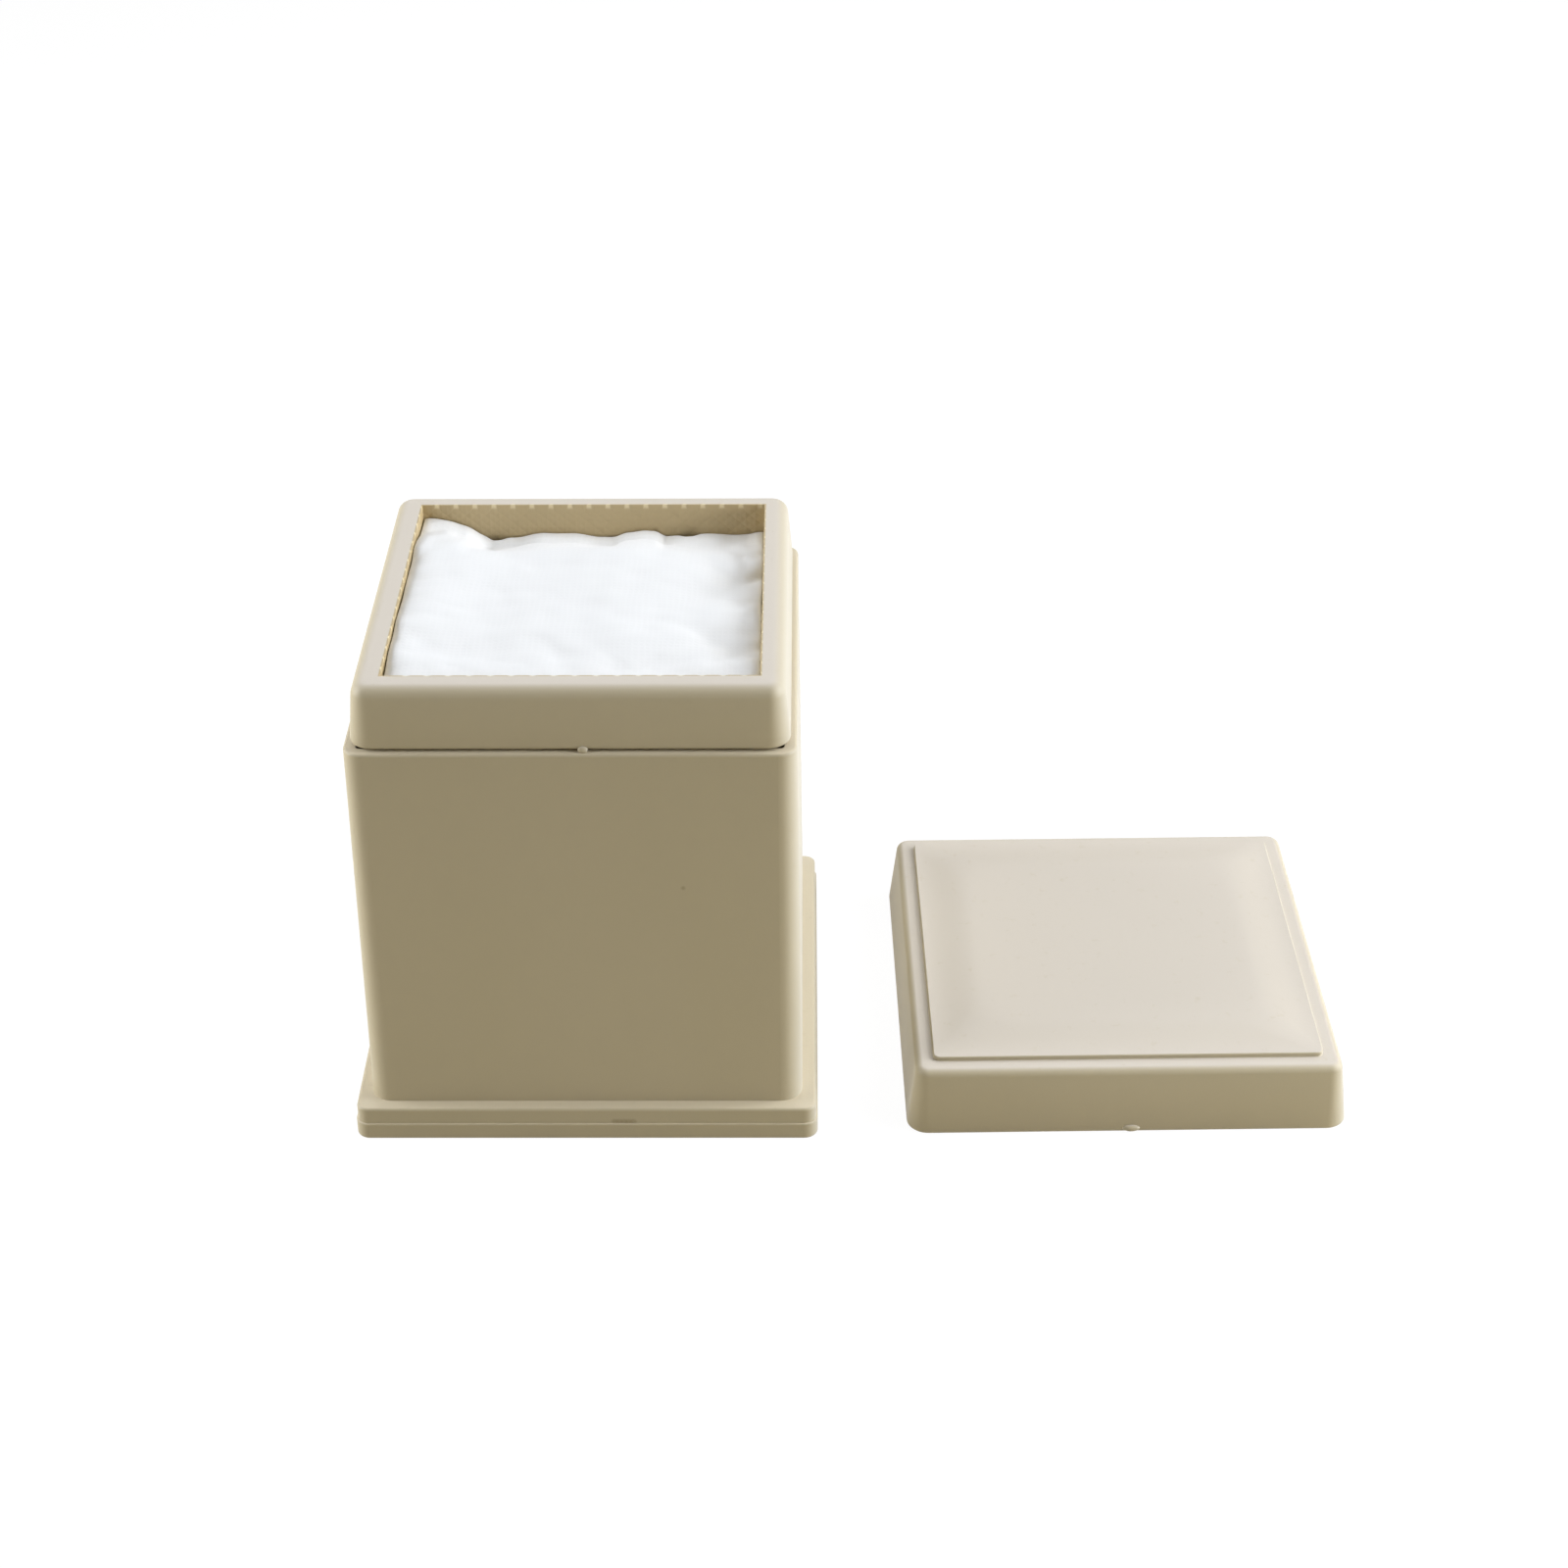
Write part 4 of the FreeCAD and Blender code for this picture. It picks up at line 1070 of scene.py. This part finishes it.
def make_stack(material):
    """The sponges in the housing: thin folded leaves, repeated upwards with a little scatter."""
    count = SPONGES_BELOW * LEAVES_IN_A_SPONGE
    thick = (STACK_LEAVES_TOP - stack_foot) / count
    cells = 14

    def flat(x, y):
        return 0.0

    sheet = leaf_sheet("stack_leaf", SPONGE - LEAF_INSET, cells, flat, STACK_WANDER, 3)
    leaf = plump(sheet, thick * LEAF_FILL, cells)
    tree = Tree("stacked_leaves", Leaf=leaf, Count=count,
                Foot=(stack_foot + thick / 2) * MM, Step=thick * MM, Seed=4)
    size = tree.inputs
    line = tree.add(
        "GeometryNodeMeshLine", Count=size["Count"],
        Start_Location=tree.add("ShaderNodeCombineXYZ", Z=size["Foot"]),
        Offset=tree.add("ShaderNodeCombineXYZ", Z=size["Step"]),
    )
    shape = tree.add("GeometryNodeObjectInfo", output="Geometry", Object=size["Leaf"])

    def scatter(low, high, seed):
        return tree.add("FunctionNodeRandomValue", {"data_type": "FLOAT_VECTOR"},
                        Min=low, Max=high, Seed=tree.maths("ADD", size["Seed"], seed))

    turn = math.radians(0.35)
    slide = 0.12 * MM
    smallest = 0.985
    leaves = tree.add("GeometryNodeInstanceOnPoints", Points=line, Instance=shape,
                      Rotation=scatter((0, 0, -turn), (0, 0, turn), 1.0),
                      Scale=scatter((smallest, smallest, 1), (1, 1, 1), 2.0))
    moved = tree.add("GeometryNodeTranslateInstances", Instances=leaves,
                     Translation=scatter((-slide, -slide, 0), (slide, slide, 0), 3.0))
    stack = tree.grow("gauze_stack", moved, material)
    bpy.data.objects.remove(leaf)
    return stack


def make_spring(material):
    """The compression spring: a round wire along its coil, with closer end turns."""
    rise = spring_high.z - spring_low.z - SPRING_WIRE
    open_pitch = (rise - 2 * SPRING_END_PITCH) / (SPRING_TURNS - 2)
    curve = bpy.data.curves.new("coil_path", "CURVE")
    curve.dimensions = "3D"
    spline = curve.splines.new("POLY")
    steps = int(SPRING_TURNS * SPRING_TURN_STEPS)
    spline.points.add(steps)
    for step in range(steps + 1):
        turn = SPRING_TURNS * step / steps
        level = min(turn, 1.0) * SPRING_END_PITCH
        level += min(max(turn - 1, 0.0), SPRING_TURNS - 2) * open_pitch
        level += max(turn - SPRING_TURNS + 1, 0.0) * SPRING_END_PITCH
        angle = 2 * math.pi * turn
        where = Vector((SPRING_RADIUS * math.cos(angle), SPRING_RADIUS * math.sin(angle),
                        spring_low.z + SPRING_WIRE / 2 + level)) * MM
        spline.points[step].co = (*where, 1)
    curve.bevel_depth = SPRING_WIRE / 2 * MM
    curve.bevel_resolution = 3
    curve.use_fill_caps = True
    path = new_object("coil_path", curve)
    mesh = evaluated_mesh(path)
    bpy.data.objects.remove(path)
    spring = new_object("coil_spring", mesh)
    mesh.shade_smooth()
    mesh.materials.clear()
    mesh.materials.append(material)
    return spring


def repaint(node, material):
    """Give a CAD node that is shown as it is a better material in its slots."""
    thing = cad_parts[node]
    if not thing.data.materials:
        thing.data.materials.append(material)
    for index in range(len(thing.data.materials)):
        thing.data.materials[index] = material


# Materials
housing_plastic = beige_plastic(
    "beige_plastic_housing", 1, marks=HOUSING_MARKS, sheen_colour=BEIGE_FOOT_PAINTED_SHEEN
)
plate_plastic = beige_plastic("beige_plastic_plate", 2, sheen_colour=BEIGE_FOOT_PAINTED_SHEEN)
collar_plastic = beige_plastic("beige_plastic_collar", 3, window=WINDOW)
lid_plastic = beige_plastic("beige_plastic_lid", 4)
follower_plastic = white_plastic()
steel = spring_steel()
gauze = cotton_gauze()

repaint("housing", housing_plastic)
repaint("base_plate", plate_plastic)
repaint("follower", follower_plastic)

collar = make_collar(collar_plastic)
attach(collar, "collar")
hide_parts("collar")

lid = make_lid(lid_plastic)
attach(lid, "lid")
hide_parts("lid")

top_sponge = make_top_sponge(gauze)
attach(top_sponge, "top_sponge")
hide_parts("sponge_01")
# The guide ribs press its sides in when the stack is pushed down.
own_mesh(top_sponge)

stack = make_stack(gauze)
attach(stack, "stack")
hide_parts(*[f"sponge_{number:02d}" for number in range(2, 19)])

spring = make_spring(steel)
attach(spring, "dispenser")
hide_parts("spring")
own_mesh(spring)


def seen_directly(shading):
    """1 for rays from the camera, in a reflection or through glass, and 0 for light on the object."""
    camera, reflected, through = (
        shading.add("ShaderNodeLightPath", output=label)
        for label in ("Is Camera Ray", "Is Glossy Ray", "Is Transmission Ray")
    )
    return camera.at_least(reflected).at_least(through)


def make_floor():
    """A plain white floor that keeps a faint shadow of the object."""
    corners = [(-1, -1), (1, -1), (1, 1), (-1, 1)]
    points = [(x * FLOOR_REACH, y * FLOOR_REACH, -FLOOR_DROP) for x, y in corners]
    floor = mesh_object("floor", points, [(0, 1, 2, 3)])
    material = bpy.data.materials.new("floor")
    material.use_nodes = True
    material.node_tree.nodes.clear()
    shading = Shading(material.node_tree)
    paper = shading.add("ShaderNodeBsdfDiffuse", {}, {"Color": (0.92, 0.92, 0.92, 1)})
    white = shading.add("ShaderNodeEmission", {}, {"Color": (1, 1, 1, 1), "Strength": 1.06})
    bounce = shading.add("ShaderNodeBsdfDiffuse", {}, {"Color": (0.60, 0.52, 0.33, 1)})
    seen = shading.mix_shaders(0.9, paper, white)
    surface = shading.mix_shaders(seen_directly(shading), bounce, seen)
    shading.add("ShaderNodeOutputMaterial", {}, {"Surface": surface})
    floor.data.materials.append(material)


def make_world():
    """White to the camera, and a dim even light on the object."""
    world = bpy.data.worlds.new("studio")
    bpy.context.scene.world = world
    world.use_nodes = True
    world.node_tree.nodes.clear()
    shading = Shading(world.node_tree)
    dim = shading.add("ShaderNodeBackground", {}, {"Color": (1.0, 0.90, 0.68, 1), "Strength": 0.05})
    white = shading.add("ShaderNodeBackground", {}, {"Color": (1, 1, 1, 1), "Strength": 1.0})
    surface = shading.mix_shaders(seen_directly(shading), dim, white)
    shading.add("ShaderNodeOutputWorld", {}, {"Surface": surface})


def area_lamp(name, place, target, size, power):
    """A large soft lamp, with its place and target in millimetres."""
    lamp = bpy.data.lights.new(name, "AREA")
    lamp.shape = "RECTANGLE"
    lamp.size, lamp.size_y = (value * MM for value in size)
    lamp.energy = power
    lamp.color = LAMP_TINT
    holder = new_object(name, lamp)
    holder.location = Vector(place) * MM
    aim = Vector(target) - Vector(place)
    holder.rotation_euler = aim.to_track_quat("-Z", "Y").to_euler()


def make_camera():
    """The camera, level at first and then rolled about its line of sight."""
    along = math.cos(CAMERA_PITCH)
    ahead = Vector((
        math.sin(CAMERA_YAW) * along, math.cos(CAMERA_YAW) * along, -math.sin(CAMERA_PITCH)
    ))
    level_right = Vector((math.cos(CAMERA_YAW), -math.sin(CAMERA_YAW), 0))
    level_up = level_right.cross(ahead)
    right = level_right * math.cos(CAMERA_ROLL) + level_up * math.sin(CAMERA_ROLL)
    up = level_up * math.cos(CAMERA_ROLL) - level_right * math.sin(CAMERA_ROLL)
    camera = bpy.data.cameras.new("camera")
    camera.sensor_width = SENSOR_WIDTH
    camera.lens = SENSOR_WIDTH * FOCAL_LENGTH
    camera.clip_start = 0.01
    camera.clip_end = 50
    holder = new_object("camera", camera)
    turn = Matrix((right, up, -ahead)).transposed()
    holder.matrix_world = Matrix.Translation(CAMERA_PLACE * MM) @ turn.to_4x4()
    bpy.context.scene.camera = holder


make_floor()
make_world()
for lamp in LAMPS:
    area_lamp(*lamp)
make_camera()
bpy.context.scene.view_settings.view_transform = "Standard"
